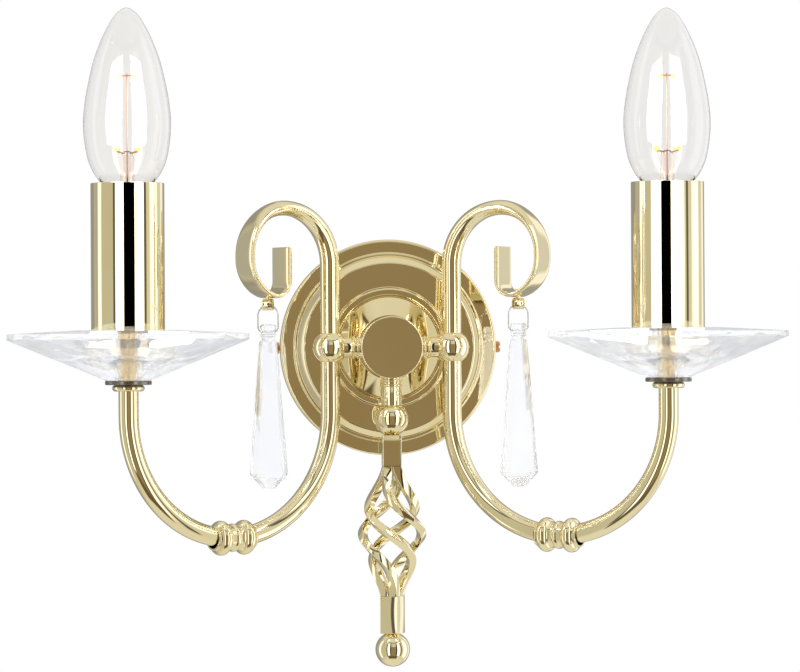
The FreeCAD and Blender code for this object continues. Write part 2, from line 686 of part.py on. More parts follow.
def knuckle():
    """Turned two-bead sleeve over the joint of the two tubes."""
    half = (KNUCKLE_BEAD_SPACING + KNUCKLE_BEAD_WIDTH) / 2 + KNUCKLE_LIP_WIDTH
    body = Part.makeCylinder(KNUCKLE_LIP_RADIUS, 2 * half, Z_AXIS * -half)
    neck_half = KNUCKLE_BEAD_SPACING / 2
    body = body.fuse(Part.makeCylinder(KNUCKLE_NECK_RADIUS, 2 * neck_half, Z_AXIS * -neck_half))
    bead_round = KNUCKLE_BEAD_WIDTH / 2
    for side in (-1, 1):
        along = side * KNUCKLE_BEAD_SPACING / 2
        core = KNUCKLE_BEAD_RADIUS - bead_round
        torus = Part.makeTorus(core, bead_round, Z_AXIS * along)
        disc = Part.makeCylinder(core, KNUCKLE_BEAD_WIDTH, Z_AXIS * (along - bead_round))
        body = body.fuse(torus).fuse(disc)
    body = turned(body, 90, Y_AXIS)
    body.translate(Vector(ARM_BEND_RADIUS, 0, bend_z - ARM_BEND_RADIUS))
    bore_span = math.degrees(2 * half / ARM_BEND_RADIUS)
    bore = round_sweep([arm_bend(270 - bore_span, 270 + bore_span)], ARM_TUBE_RADIUS + SLIP)
    return on_arm(body.cut(bore).removeSplitter())


# ================================================================ scroll
def scroll_curves():
    """The scroll's four curves in order: centre u, centre z, radius, start and end degrees."""
    arch = (SCROLL_ARCH_RADIUS, SCROLL_RISE, SCROLL_ARCH_RADIUS, 180, 90)
    top_z = SCROLL_RISE + SCROLL_ARCH_RADIUS
    shoulder_z = top_z - SCROLL_SHOULDER_RADIUS
    shoulder = (SCROLL_ARCH_RADIUS, shoulder_z, SCROLL_SHOULDER_RADIUS, 90, 0)
    belly_u = SCROLL_ARCH_RADIUS + SCROLL_SHOULDER_RADIUS - SCROLL_BELLY_RADIUS
    belly_z = shoulder_z - SCROLL_FALL
    belly = (belly_u, belly_z, SCROLL_BELLY_RADIUS, 0, -SCROLL_BELLY_TURN)
    inset = SCROLL_BELLY_RADIUS - SCROLL_CURL_RADIUS
    curl_centre = polar(belly_u, belly_z, inset, -SCROLL_BELLY_TURN)
    curl = (curl_centre.x, curl_centre.z, SCROLL_CURL_RADIUS, -SCROLL_BELLY_TURN, -180)
    return arch, shoulder, belly, curl


def curve_place(curve, share):
    """Point and outward normal at a share of a curve."""
    u, z, radius, start, end = curve
    degrees = start + (end - start) * share
    return polar(u, z, radius, degrees), polar(0, 0, 1, degrees)


def line_place(start, end, normal, share):
    """Point and normal at a share of a straight run."""
    return start + (end - start) * share, normal


def scroll_runs():
    """Every run of the scroll in order, as (length, function of the share along it)."""
    curves = scroll_curves()
    foot = Z_AXIS * BALL_TUBE_SEAT
    straights = {
        0: (foot, Z_AXIS * SCROLL_RISE, -X_AXIS),
        2: (curve_place(curves[1], 1)[0], curve_place(curves[2], 0)[0], X_AXIS),
    }
    runs = []
    for index, curve in enumerate(curves):
        if index in straights:
            start, end, normal = straights[index]
            runs.append(((end - start).Length, partial(line_place, start, end, normal)))
        turn = math.radians(abs(curve[4] - curve[3]))
        runs.append((curve[2] * turn, partial(curve_place, curve)))
    tail = curve_place(curves[-1], 1)[0]
    runs.append((SCROLL_TAIL, partial(line_place, tail, tail + Z_AXIS * SCROLL_TAIL, -X_AXIS)))
    return runs


def eased(share):
    """Smooth step, level at both ends."""
    share = min(1.0, max(0.0, share))
    return share * share * (3 - 2 * share)


def scroll_section(point, normal, flat_first, flat_second):
    """Closed outline across the strip: round tube, oval at the top, flat after it."""
    tube = 2 * ARM_TUBE_RADIUS
    thickness = tube + (SCROLL_TOP_THICKNESS - tube) * flat_first
    thickness += (SCROLL_STRIP_THICKNESS - SCROLL_TOP_THICKNESS) * flat_second
    width = tube + (SCROLL_TOP_WIDTH - tube) * flat_first
    width += (SCROLL_STRIP_WIDTH - SCROLL_TOP_WIDTH) * flat_second
    power = 1 - SCROLL_SQUARENESS * flat_second

    corners = []
    for side in range(SCROLL_SIDES):
        turn = 2 * math.pi * (side + 0.5) / SCROLL_SIDES
        across = math.copysign(abs(math.cos(turn)) ** power, math.cos(turn))
        along = math.copysign(abs(math.sin(turn)) ** power, math.sin(turn))
        corners.append(point + normal * (across * thickness / 2) + Y_AXIS * (along * width / 2))
    return Part.makePolygon(corners + corners[:1])


def scroll_sections():
    """Sections at even steps along the whole scroll."""
    runs = scroll_runs()
    total = sum(length for length, _ in runs)
    straight, arch_length, shoulder_length = [length for length, _ in runs[:3]]
    steps = round(total / SCROLL_STEP)
    sections = []
    for step in range(steps + 1):
        along = total * step / steps
        left = along
        for length, place in runs:
            if left <= length:
                break
            left -= length
        point, normal = place(min(1.0, left / length))
        first = eased((along - straight) / arch_length)
        second = eased((along - straight - arch_length) / shoulder_length)
        sections.append(scroll_section(point, normal, first, second))
    return sections


def scroll():
    """Tube that rises from the root ball, curls over and is pressed flat."""
    strip = Part.makeLoft(scroll_sections(), True, False)
    bore_start = Z_AXIS * BALL_TUBE_SEAT
    bore = cylinder(ARM_TUBE_RADIUS - ARM_TUBE_WALL, bore_start, bore_start + Z_AXIS * SCROLL_BORE_LENGTH)
    shank_hole = cylinder(EYELET_SHANK_RADIUS + SLIP, Vector(EYELET_U, 0, eyelet_z()),
                          Vector(EYELET_U, 0, eyelet_head_z()))
    return on_arm(strip.cut(bore).cut(shank_hole))


def strip_surface_z(side):
    """Height of the strip's underside (-1) or top face (+1) at the eyelet's shank.

    The lowest or highest point that the shank or its head meets is used.
    """
    half = SCROLL_STRIP_THICKNESS / 2
    heights = []
    for u, z, radius, start, end in scroll_curves()[2:]:
        for step in range(61):
            degrees = start + (end - start) * step / 60
            point = polar(u, z, radius - side * half, degrees)
            if abs(point.x - EYELET_U) <= EYELET_HEAD_RADIUS:
                heights.append(point.z)
    return side * max(side * height for height in heights)


def eyelet_z():
    """Height of the eyelet's bore."""
    return strip_surface_z(-1) - FREE - EYELET_RADIUS


def eyelet_head_z():
    """Height of the underside of the shank's riveted head."""
    return strip_surface_z(1) + THREAD_ROOM


# ================================================================ candle stack
def collar():
    """Ring over the end of the arm tube, under the washer."""
    low = ARM_TOP - COLLAR_LAP
    edge = COLLAR_HEIGHT / 4
    bore = ARM_TUBE_RADIUS + SLIP
    return revolved([(bore, low), (COLLAR_RADIUS - edge, low), (COLLAR_RADIUS, low + edge),
                     (COLLAR_RADIUS, low + COLLAR_HEIGHT - edge),
                     (COLLAR_RADIUS - edge, low + COLLAR_HEIGHT), (bore, low + COLLAR_HEIGHT)])


def pan_washer():
    """Flat washer that carries the drip pan."""
    return ring(WASHER_RADIUS, SPIGOT_RADIUS + SLIP, collar_top_z, washer_top_z)


def spigot():
    """Hollow threaded spigot: plugged into the arm, up through pan and lampholder."""
    plug = ARM_TUBE_RADIUS - ARM_TUBE_WALL - SLIP
    plug_foot = ARM_TOP - SPIGOT_PLUG_LENGTH
    return revolved([(SPIGOT_BORE_RADIUS, plug_foot), (plug, plug_foot), (plug, ARM_TOP),
                     (SPIGOT_RADIUS, ARM_TOP), (SPIGOT_RADIUS, spigot_top_z),
                     (SPIGOT_BORE_RADIUS, spigot_top_z)])


def facet_cutter(count, phase, r0, z0, r1, z1, reach):
    """Everything outside one row of flat facets through two (radius, height) lines."""
    slope = math.atan2(z1 - z0, r1 - r0)
    low = Vector(r0 - reach * math.cos(slope), 0, z0 - reach * math.sin(slope))
    high = Vector(r1 + reach * math.cos(slope), 0, z1 + reach * math.sin(slope))
    down = Vector(math.sin(slope), 0, -math.cos(slope)) * reach
    corners = [low, high, high + down, low + down]
    width = Vector(0, 2 * reach, 0)
    slab = Part.Face(Part.makePolygon([c - width * 0.5 for c in corners + corners[:1]])).extrude(width)
    return [turned(slab, phase + 360 / count * index) for index in range(count)]


def drip_pan():
    """Clear cut pan: nearly flat on top, a cone below cut in two rows of facets."""
    neck = washer_top_z
    blank = revolved([
        (SPIGOT_RADIUS + PAN_HOLE_CLEARANCE, neck), (PAN_NECK_RADIUS, neck),
        (PAN_RADIUS, pan_rim_z), (PAN_RADIUS, pan_rim_z + PAN_RIM),
        (PAN_FLAT_RADIUS, pan_top_z), (SPIGOT_RADIUS + PAN_HOLE_CLEARANCE, pan_top_z)])
    turn = 180 / PAN_FACETS
    shrink = math.cos(math.radians(turn))
    break_radius = PAN_RADIUS * PAN_FACET_BREAK
    slope = PAN_HEIGHT / (PAN_RADIUS - PAN_NECK_RADIUS)
    break_z = neck + (break_radius - PAN_NECK_RADIUS) * slope
    lower = facet_cutter(PAN_FACETS, 0, PAN_NECK_RADIUS * shrink, neck,
                         break_radius, break_z, PAN_RADIUS)
    upper = facet_cutter(PAN_FACETS, turn, break_radius * shrink, break_z + PAN_FACET_STEP * slope / 2,
                         PAN_RADIUS, pan_rim_z + PAN_RIM / 4, PAN_RADIUS)
    for slab in lower + upper:
        blank = blank.cut(slab)
    return blank


def pan_nut():
    """Nut that clamps the drip pan."""
    return hexagon(NUT_FLATS, pan_top_z, pan_top_z + NUT_HEIGHT, SPIGOT_RADIUS + THREAD_ROOM)


def lampholder():
    """Moulded holder: screwed on the spigot, with a bridge for the centre contact."""
    thread = SPIGOT_RADIUS + SLIP
    flange = candle_bore_radius - FREE
    flange_top = holder_foot_z + HOLDER_FLANGE_HEIGHT
    stem = CONTACT_STEM_RADIUS + FREE
    socket = LAMP_CAP_RADIUS + FREE
    return revolved([
        (thread, holder_foot_z), (flange, holder_foot_z), (flange, flange_top),
        (HOLDER_RADIUS, flange_top), (HOLDER_RADIUS, holder_top_z), (socket, holder_top_z),
        (socket, socket_z), (stem, socket_z), (stem, bridge_z), (thread, bridge_z)])


def holder_contact():
    """Sprung plunger under the lamp's centre tip."""
    head_z = lamp_foot_z - CONTACT_HEAD_HEIGHT
    return revolved([(0, bridge_z), (CONTACT_STEM_RADIUS, bridge_z), (CONTACT_STEM_RADIUS, head_z),
                     (CONTACT_HEAD_RADIUS, head_z), (CONTACT_HEAD_RADIUS, lamp_foot_z), (0, lamp_foot_z)])


def candle_tube():
    """Polished sleeve over the lampholder."""
    return ring(CANDLE_RADIUS, candle_bore_radius, pan_top_z, candle_mouth_z)


# ================================================================ lamp
def lamp_outline(inset):
    """Upright arcs of the glass, moved in by a distance, with their neck and tip points."""
    neck_z = lamp_shell_top_z
    widest_z = neck_z + LAMP_WIDEST_SHARE * (lamp_tip_z - neck_z)
    above = lamp_tip_z - widest_z
    below = widest_z - neck_z
    points = [(LAMP_NECK_RADIUS, neck_z)]
    for share, width in ((0.14, 0.58), (0.33, 0.78), (0.58, 0.92)):
        points.append((width * LAMP_RADIUS, neck_z + share * below))
    for share, width in ((0.0, 1.0), (0.20, 0.965), (0.40, 0.865), (0.58, 0.74), (0.75, 0.56),
                         (0.88, 0.375), (0.96, 0.21)):
        points.append((width * LAMP_RADIUS, widest_z + share * above))
    points.append((0.0, lamp_tip_z))
    offset = offset_stations(points, -inset)
    offset[0] = (LAMP_NECK_RADIUS - inset, neck_z)
    stations = [Vector(radius, 0, height) for radius, height in offset[:-1]]
    tip = Vector(0, 0, lamp_tip_z - inset)
    arcs = []
    for first in range(0, len(stations) - 2, 2):
        arcs.append(Part.Arc(*stations[first:first + 3]).toShape())
    last = stations[-1]
    drop = tip.z - last.z
    nose_radius = (last.x ** 2 + drop ** 2) / (2 * drop)
    turn = math.asin(last.x / nose_radius) / 2
    middle = tip + Vector(nose_radius * math.sin(turn), 0, nose_radius * (math.cos(turn) - 1))
    arcs.append(Part.Arc(last, middle, tip).toShape())
    return arcs, stations[0], tip


def lamp_glass():
    """Thin candle-shaped envelope, open at the neck where the cap closes it."""
    outside, outer_foot, outer_tip = lamp_outline(0.0)
    inside, inner_foot, inner_tip = lamp_outline(LAMP_GLASS_WALL)
    foot = Part.LineSegment(inner_foot, outer_foot).toShape()
    tip = Part.LineSegment(outer_tip, inner_tip).toShape()
    face = Part.Face(Part.Wire(Part.__sortEdges__([foot, *outside, tip, *inside])))
    return face.revolve(ORIGIN, Z_AXIS, 360)


def lamp_cap():
    """Screw shell with its insulating cone and centre tip."""
    cone_z = lamp_foot_z + LAMP_TIP_HEIGHT
    shell_z = cone_z + LAMP_CAP_CONE
    return revolved([(0, lamp_foot_z), (LAMP_TIP_RADIUS, lamp_foot_z), (LAMP_TIP_RADIUS, cone_z),
                     (LAMP_CAP_RADIUS - LAMP_TIP_HEIGHT, shell_z), (LAMP_CAP_RADIUS, shell_z),
                     (LAMP_CAP_RADIUS, lamp_shell_top_z), (0, lamp_shell_top_z)])


def lamp_filaments():
    """Glass stem with its carrier wires and leaning filament rods, as one mount."""
    stem_z = lamp_shell_top_z
    foot_radius = LAMP_NECK_RADIUS - 2 * LAMP_GLASS_WALL
    stem_top = stem_z + LAMP_STEM_HEIGHT
    rod_foot = stem_top
    rod_top = rod_foot + FILAMENT_LENGTH
    mount = revolved([(0, stem_z), (foot_radius, stem_z), (foot_radius, stem_z + LAMP_GLASS_WALL),
                      (LAMP_STEM_RADIUS, stem_z + LAMP_STEM_HEIGHT / 4),
                      (LAMP_STEM_RADIUS, stem_top), (0, stem_top)])
    post_foot = Z_AXIS * (stem_top - LEAD_WIRE_ROOT)
    post_top = Z_AXIS * (rod_top + LEAD_WIRE_ROOT)
    mount = mount.fuse(cylinder(2 * LEAD_WIRE_RADIUS, post_foot, post_top))
    for index in range(FILAMENT_COUNT):
        angle = 360 / FILAMENT_COUNT * (index + 0.5)
        foot = Vector(FILAMENT_CIRCLE, 0, rod_foot)
        top = Vector(FILAMENT_CIRCLE - FILAMENT_LEAN, 0, rod_top)
        rod = cylinder(FILAMENT_RADIUS, foot, top)
        root = Vector(LAMP_STEM_RADIUS / 2, 0, stem_top - LEAD_WIRE_ROOT)
        carrier = cylinder(LEAD_WIRE_RADIUS, root, foot)
        bridge = cylinder(LEAD_WIRE_RADIUS, top, Z_AXIS * rod_top)
        mount = mount.fuse(turned(rod.fuse(carrier).fuse(bridge), angle))
    return mount


# ================================================================ hanging drop
def ring_top_z():
    """Height of the ring's middle line at its top, inside the eyelet's bore."""
    sag = RING_ARC_RADIUS - math.sqrt(RING_ARC_RADIUS ** 2 - (EYELET_LENGTH / 2) ** 2)
    return eyelet_z() - EYELET_BORE_RADIUS + FREE + RING_WIRE_RADIUS + sag


def ring_foot_z():
    """Height of the ring's straight foot, which the drop hangs on."""
    return ring_top_z() - RING_HEIGHT


def drop_eyelet():
    """Barrel-shaped eye on a shank riveted through the scroll's strip."""
    half = X_AXIS * (EYELET_LENGTH / 2)
    barrel = cylinder(EYELET_RADIUS, half * -1, half)
    shank_top = eyelet_head_z() - eyelet_z()
    shank = cylinder(EYELET_SHANK_RADIUS, ORIGIN, Z_AXIS * shank_top)
    head = cylinder(EYELET_HEAD_RADIUS, Z_AXIS * shank_top, Z_AXIS * (shank_top + EYELET_HEAD_HEIGHT))
    eyelet = barrel.fuse(shank).fuse(head).cut(cylinder(EYELET_BORE_RADIUS, half * -1, half))
    return on_drop(moved(eyelet, 0, 0, eyelet_z()))


def drop_ring():
    """Wire ring: round above, with a straight foot through the drop."""
    top = ring_top_z()
    foot = ring_foot_z()
    shoulder = top - RING_ARC_RADIUS
    side = RING_ARC_RADIUS
    foot_half = side - RING_CORNER_RADIUS
    corner_z = foot + RING_CORNER_RADIUS
    slant = math.sqrt(0.5)
    right_corner = Part.Arc(
        Vector(foot_half, 0, foot),
        Vector(foot_half + RING_CORNER_RADIUS * slant, 0, corner_z - RING_CORNER_RADIUS * slant),
        Vector(side, 0, corner_z)).toShape()
    left_corner = Part.Arc(
        Vector(-side, 0, corner_z),
        Vector(-foot_half - RING_CORNER_RADIUS * slant, 0, corner_z - RING_CORNER_RADIUS * slant),
        Vector(-foot_half, 0, foot)).toShape()
    edges = [
        Part.LineSegment(ORIGIN + Z_AXIS * foot, Vector(foot_half, 0, foot)).toShape(),
        right_corner,
        Part.LineSegment(Vector(side, 0, corner_z), Vector(side, 0, shoulder)).toShape(),
        Part.Arc(Vector(side, 0, shoulder), Vector(0, 0, top), Vector(-side, 0, shoulder)).toShape(),
        Part.LineSegment(Vector(-side, 0, shoulder), Vector(-side, 0, corner_z)).toShape(),
        left_corner,
        Part.LineSegment(Vector(-foot_half, 0, foot), ORIGIN + Z_AXIS * foot).toShape(),
    ]
    return on_drop(round_sweep(edges, RING_WIRE_RADIUS))


def eight_sided(width, depth, height):
    """Section of the drop: a rectangle with its four corners bevelled."""
    x = width / 2
    y = depth / 2
    bevel_x = width * DROP_BEVEL_SHARE
    bevel_y = depth * DROP_BEVEL_DEPTH_SHARE
    corners = [(x, y - bevel_y), (x - bevel_x, y), (bevel_x - x, y), (-x, y - bevel_y),
               (-x, bevel_y - y), (bevel_x - x, -y), (x - bevel_x, -y), (x, bevel_y - y)]
    points = [Vector(u, v, height) for u, v in corners]
    return Part.makePolygon(points + points[:1])


def drop_hole_z():
    """Height of the hole through the drop's head."""
    return ring_foot_z() - (DROP_HOLE_RADIUS - RING_WIRE_RADIUS - FREE)


def crystal_drop():
    """Long cut drop: pierced head, groove, widening body and a blunt point."""
    hole = drop_hole_z()
    head_foot = hole - DROP_HEAD_BELOW
    body_top = head_foot - DROP_NECK_HEIGHT
    body_foot = body_top - DROP_BODY_HEIGHT
    sections = [
        eight_sided(DROP_POINT_WIDTH, DROP_POINT_DEPTH, body_foot - DROP_POINT_HEIGHT),
        eight_sided(DROP_BODY_WIDTH, DROP_BODY_DEPTH, body_foot),
        eight_sided(DROP_TOP_WIDTH, DROP_TOP_DEPTH, body_top - DROP_NECK_HEIGHT),
        eight_sided(DROP_NECK_WIDTH, DROP_NECK_DEPTH, body_top),
        eight_sided(DROP_NECK_WIDTH, DROP_NECK_DEPTH, head_foot),
        eight_sided(DROP_HEAD_WIDTH, DROP_HEAD_DEPTH, head_foot + DROP_NECK_HEIGHT),
        eight_sided(DROP_HEAD_WIDTH, DROP_HEAD_DEPTH, hole + DROP_HEAD_ABOVE - DROP_NECK_HEIGHT),
        eight_sided(DROP_NECK_WIDTH, DROP_NECK_DEPTH, hole + DROP_HEAD_ABOVE),
    ]
    drop = Part.makeLoft(sections, True, True)
    centre = Z_AXIS * hole
    half = X_AXIS * (DROP_HEAD_WIDTH / 2)
    drop = drop.cut(cylinder(DROP_HOLE_RADIUS, centre - half * 2, centre + half * 2))
    for side in (-1, 1):
        sink = Part.makeCone(DROP_COUNTERSINK_RADIUS, DROP_HOLE_RADIUS, DROP_COUNTERSINK_DEPTH,
                             centre + half * side, X_AXIS * -side)
        drop = drop.cut(sink)
    return on_drop(drop)


# ================================================================ pendant
pendant_flat_z = PENDANT_BALL_Z - BALL_RADIUS + BALL_FLAT
basket_top_z = pendant_flat_z - TOP_BAR_LENGTH
basket_foot_z = basket_top_z - BASKET_LENGTH
finial_flat_z = basket_foot_z - LOWER_BAR_LENGTH
finial_z = finial_flat_z - BALL_RADIUS + BALL_FLAT


def in_pendant(shape):
    """Place a shape drawn about Z on the pendant's axis."""
    return moved(shape, 0, -ROOT_DEPTH, 0)


def flat_and_hole(ball, centre_z, side):
    """Grind a flat on a ball, above (+1) or below (-1), and drill it for a stud."""
    direction = Z_AXIS * side
    flat = Z_AXIS * centre_z + direction * (BALL_RADIUS - BALL_FLAT)
    ball = ball.cut(cylinder(BALL_RADIUS, flat, flat + direction * BALL_RADIUS))
    return ball.cut(cylinder(BAR_STUD_RADIUS + SLIP, flat - direction * BAR_STUD_LENGTH, flat))


def pendant_ball():
    """Ball under the bottom stub."""
    ball = moved(drilled_ball(Z_AXIS, ()), 0, 0, PENDANT_BALL_Z)
    return in_pendant(flat_and_hole(ball, PENDANT_BALL_Z, -1))


def square_bar(top, foot, stud_at, stud_side):
    """Square bar with a round stud at one end."""
    bar = block(BAR_SIDE, BAR_SIDE, top - foot, Z_AXIS * ((top + foot) / 2))
    stud_end = Z_AXIS * (stud_at + stud_side * (BAR_STUD_LENGTH - SLIP))
    return in_pendant(bar.fuse(cylinder(BAR_STUD_RADIUS, Z_AXIS * stud_at, stud_end)))


def basket_rod(index):
    """One square rod: starts beside the others, swells out and twists round."""
    start_radius = BAR_SIDE / 4 * math.sqrt(2)
    swell = BASKET_RADIUS - BASKET_ROD_SIDE / 2 - start_radius
    half = BASKET_ROD_SIDE / 2
    points = []
    angles = []
    for step in range(BASKET_STEPS + 1):
        share = step / BASKET_STEPS
        turn = share - math.sin(2 * math.pi * share) / (4 * math.pi)
        angle = math.radians(45 + 360 / BASKET_RODS * index + BASKET_TWIST * turn)
        radius = start_radius + swell * math.sin(math.pi * share) ** BASKET_SWELL_POWER
        height = basket_top_z - BASKET_LENGTH * share
        points.append(Vector(radius * math.cos(angle), radius * math.sin(angle), height))
        angles.append(angle)
    sections = []
    for step, (point, angle) in enumerate(zip(points, angles)):
        if step in (0, BASKET_STEPS):
            tangent = -Z_AXIS
        else:
            tangent = (points[step + 1] - points[step - 1]).normalize()
        outward = Vector(math.cos(angle), math.sin(angle), 0)
        outward = (outward - tangent * outward.dot(tangent)).normalize()
        sideways = tangent.cross(outward)
        first = (outward + sideways) * half
        second = (outward - sideways) * half
        corners = [point + first, point + second, point - first, point - second]
        sections.append(Part.makePolygon(corners + corners[:1]))
    return Part.makeLoft(sections, True, False)


def pendant_basket():
    """The four twisted rods."""
    rods = [in_pendant(basket_rod(index)) for index in range(BASKET_RODS)]
    return Part.makeCompound(rods)


def finial_ball():
    """Ball at the foot of the pendant."""
    ball = moved(Part.makeSphere(BALL_RADIUS), 0, 0, finial_z)
    return in_pendant(flat_and_hole(ball, finial_z, 1))


# ================================================================ leads
def lamp_lead():
    """Twin lead from the terminal block, through hub and arm, to the lampholder."""
    candle_x, candle_y = arm_position(candle_u)
    bend_top = Vector(ROOT_X, -ROOT_DEPTH, bend_z)
    points = [
        Vector(TERMINAL_POLE_X, -TERMINAL_HOLE_DEPTH, TERMINAL_BOTTOM + LEAD_START_HEIGHT),
        Vector(TERMINAL_POLE_X, -TERMINAL_HOLE_DEPTH, TERMINAL_BOTTOM - LEAD_TERMINAL_RUN),
        Vector(LEAD_NIPPLE_X, -TERMINAL_HOLE_DEPTH, 0),
        Vector(LEAD_NIPPLE_X, -ROOT_DEPTH, 0),
        Vector(ROOT_X, -ROOT_DEPTH, 0),
        bend_top,
    ]
    radii = [LEAD_TURN_RADIUS, LEAD_TURN_RADIUS, LEAD_HUB_TURN_RADIUS, LEAD_TURN_RADIUS]
    edges = rounded_edges(points, radii)
    bottom_x, bottom_y = arm_position(ARM_BEND_RADIUS)
    far = Vector(candle_x, candle_y, bend_z)
    edges.append(Part.Arc(bend_top, Vector(bottom_x, bottom_y, bend_z - ARM_BEND_RADIUS), far).toShape())
    end = Vector(candle_x, candle_y, spigot_top_z + LEAD_HOLDER_TAIL)
    edges.append(Part.LineSegment(far, end).toShape())
    lead = round_sweep(edges, LEAD_RADIUS)
    print("lead length", round(sum(edge.Length for edge in edges), 1))
    return lead


# ================================================================ write the pieces
os.makedirs("parts", exist_ok=True)

write("wall_bracket", wall_bracket())
write("backplate", backplate())
write("side_screws", side_screws())
write("terminal_block", terminal_block())
write("terminal_screws", terminal_screws())
write("earth_screw", earth_screw())
write("hub_body", hub_body())
write("hub_cap", hub_cap())
write("hub_nipple", hub_nipple())
write("hub_locknut", hub_locknut())
write("bottom_stub", bottom_stub())
write("pendant_ball", pendant_ball())
write("pendant_top_bar", square_bar(pendant_flat_z, basket_top_z, pendant_flat_z, 1))
write("pendant_basket", pendant_basket())
write("pendant_lower_bar", square_bar(basket_foot_z, finial_flat_z, finial_flat_z, -1))
write("finial_ball", finial_ball())

write_pair("arm_stub", side_stub())
write_pair("root_ball", root_ball())
write_pair("scroll", scroll())
write_pair("arm_inner_tube", arm_inner())
write_pair("arm_knuckle", knuckle())
write_pair("arm_outer_tube", arm_outer())
write_pair("arm_collar", on_candle(collar()))
write_pair("pan_washer", on_candle(pan_washer()))
write_pair("drip_pan", on_candle(drip_pan()))
write_pair("pan_spigot", on_candle(spigot()))
write_pair("pan_nut", on_candle(pan_nut()))
write_pair("lampholder", on_candle(lampholder()))
write_pair("holder_contact", on_candle(holder_contact()))
write_pair("candle_tube", on_candle(candle_tube()))
write_pair("lamp_glass", on_candle(lamp_glass()))
write_pair("lamp_cap", on_candle(lamp_cap()))
write_pair("lamp_filaments", on_candle(lamp_filaments()))
write_pair("drop_eyelet", drop_eyelet())
write_pair("drop_ring", drop_ring())
write_pair("crystal_drop", crystal_drop())
write_pair("lamp_lead", lamp_lead())

eyelet_x, eyelet_y = arm_position(EYELET_U)
candle_x, candle_y = arm_position(candle_u)
print("candle axis", round(candle_x, 3), round(candle_y, 3), "candle mouth", round(candle_mouth_z, 3))
print("eyelet", round(eyelet_x, 3), round(eyelet_y, 3), round(eyelet_z(), 3))
print("ring arc centre height", round(ring_top_z() - RING_ARC_RADIUS, 3),
      "ring foot height", round(ring_foot_z(), 3), "drop turn", DROP_TURN)
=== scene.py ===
# %% [markdown]
# # A double arm wall sconce in polished brass and cut crystal
#
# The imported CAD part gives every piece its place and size. Here each visible piece is
# modelled again with clean, evenly spaced faces, because polished metal shows every flat
# spot of a mesh in its reflections, and each surface gets the finish of the real thing.

import json
import math

import bmesh
import bpy
from mathutils import Matrix, Vector

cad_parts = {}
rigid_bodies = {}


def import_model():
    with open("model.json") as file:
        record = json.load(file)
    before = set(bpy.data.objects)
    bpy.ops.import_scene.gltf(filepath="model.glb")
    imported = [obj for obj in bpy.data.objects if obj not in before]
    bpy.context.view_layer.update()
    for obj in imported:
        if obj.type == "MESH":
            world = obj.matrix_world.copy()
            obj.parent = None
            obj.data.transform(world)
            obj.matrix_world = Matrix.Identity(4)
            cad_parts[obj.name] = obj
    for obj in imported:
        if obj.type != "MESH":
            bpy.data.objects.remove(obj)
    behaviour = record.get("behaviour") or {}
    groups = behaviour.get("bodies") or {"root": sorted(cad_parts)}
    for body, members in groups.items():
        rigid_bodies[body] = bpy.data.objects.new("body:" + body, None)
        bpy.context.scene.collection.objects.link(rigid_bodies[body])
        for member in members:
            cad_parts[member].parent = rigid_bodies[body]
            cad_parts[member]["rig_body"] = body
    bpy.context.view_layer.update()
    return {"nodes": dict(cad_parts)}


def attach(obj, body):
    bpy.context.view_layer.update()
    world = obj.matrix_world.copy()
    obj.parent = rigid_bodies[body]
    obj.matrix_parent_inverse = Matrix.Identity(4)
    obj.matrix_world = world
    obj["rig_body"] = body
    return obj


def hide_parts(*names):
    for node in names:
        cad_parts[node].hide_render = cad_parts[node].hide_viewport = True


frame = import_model()

# %% [markdown]
# ## Helpers for nodes and colours
#
# Colours are written as they are seen on a screen and turned to linear light by one
# function. One more function adds a node, sets it up and links it, so that each material
# below reads as a short list of steps.

# %% Colour and node helpers
MM = 0.001
SIDES = {"right": 1, "left": -1}


def seen_colour(hex_code, alpha=1.0):
    """Linear colour for a hex value as seen on a screen."""
    channels = [int(hex_code[i : i + 2], 16) / 255 for i in (1, 3, 5)]
    linear = [c / 12.92 if c <= 0.04045 else ((c + 0.055) / 1.055) ** 2.4 for c in channels]
    return (*linear, alpha)


def add_node(tree, kind, values=None, links=None, **settings):
    """A node with its settings, socket values and links from other sockets."""
    node = tree.nodes.new("ShaderNode" + kind)
    for name, value in settings.items():
        setattr(node, name, value)
    for socket, value in (values or {}).items():
        node.inputs[socket].default_value = value
    for socket, source in (links or {}).items():
        tree.links.new(source, node.inputs[socket])
    return node


def new_material(name):
    """An empty node material and its node tree."""
    material = bpy.data.materials.new(name)
    material.use_nodes = True
    material.node_tree.nodes.clear()
    return material, material.node_tree


def shown(material, shader):
    """The material, with this shader on its surface."""
    add_node(material.node_tree, "OutputMaterial", links={"Surface": shader.outputs[0]})
    return material


def coated(material, colour, gloss, height, bump_share, values, bump_mm=1.0):
    """A surface with a colour, a gloss and a faint relief that each come from a pattern."""
    tree = material.node_tree
    bump = add_node(tree, "Bump", values={"Strength": bump_share, "Distance": bump_mm * MM},
                    links={"Height": height})
    return shown(material, add_node(
        tree, "BsdfPrincipled", values=values,
        links={"Base Color": colour, "Roughness": gloss, "Normal": bump.outputs["Normal"]}))


def pattern(tree, size_mm, detail=3.0, roughness=0.5):
    """Noise on the object's own coordinates, with features of about this size."""
    place = add_node(tree, "TexCoord")
    return add_node(
        tree, "TexNoise",
        values={"Scale": 1.0 / (size_mm * MM), "Detail": detail, "Roughness": roughness},
        links={"Vector": place.outputs["Object"]},
    ).outputs["Fac"]


def spread(tree, source, low, high, start=0.3, stop=0.7):
    """A pattern's value stretched from start..stop to low..high."""
    return add_node(
        tree, "MapRange",
        values={"From Min": start, "From Max": stop, "To Min": low, "To Max": high},
        links={"Value": source},
    ).outputs["Result"]


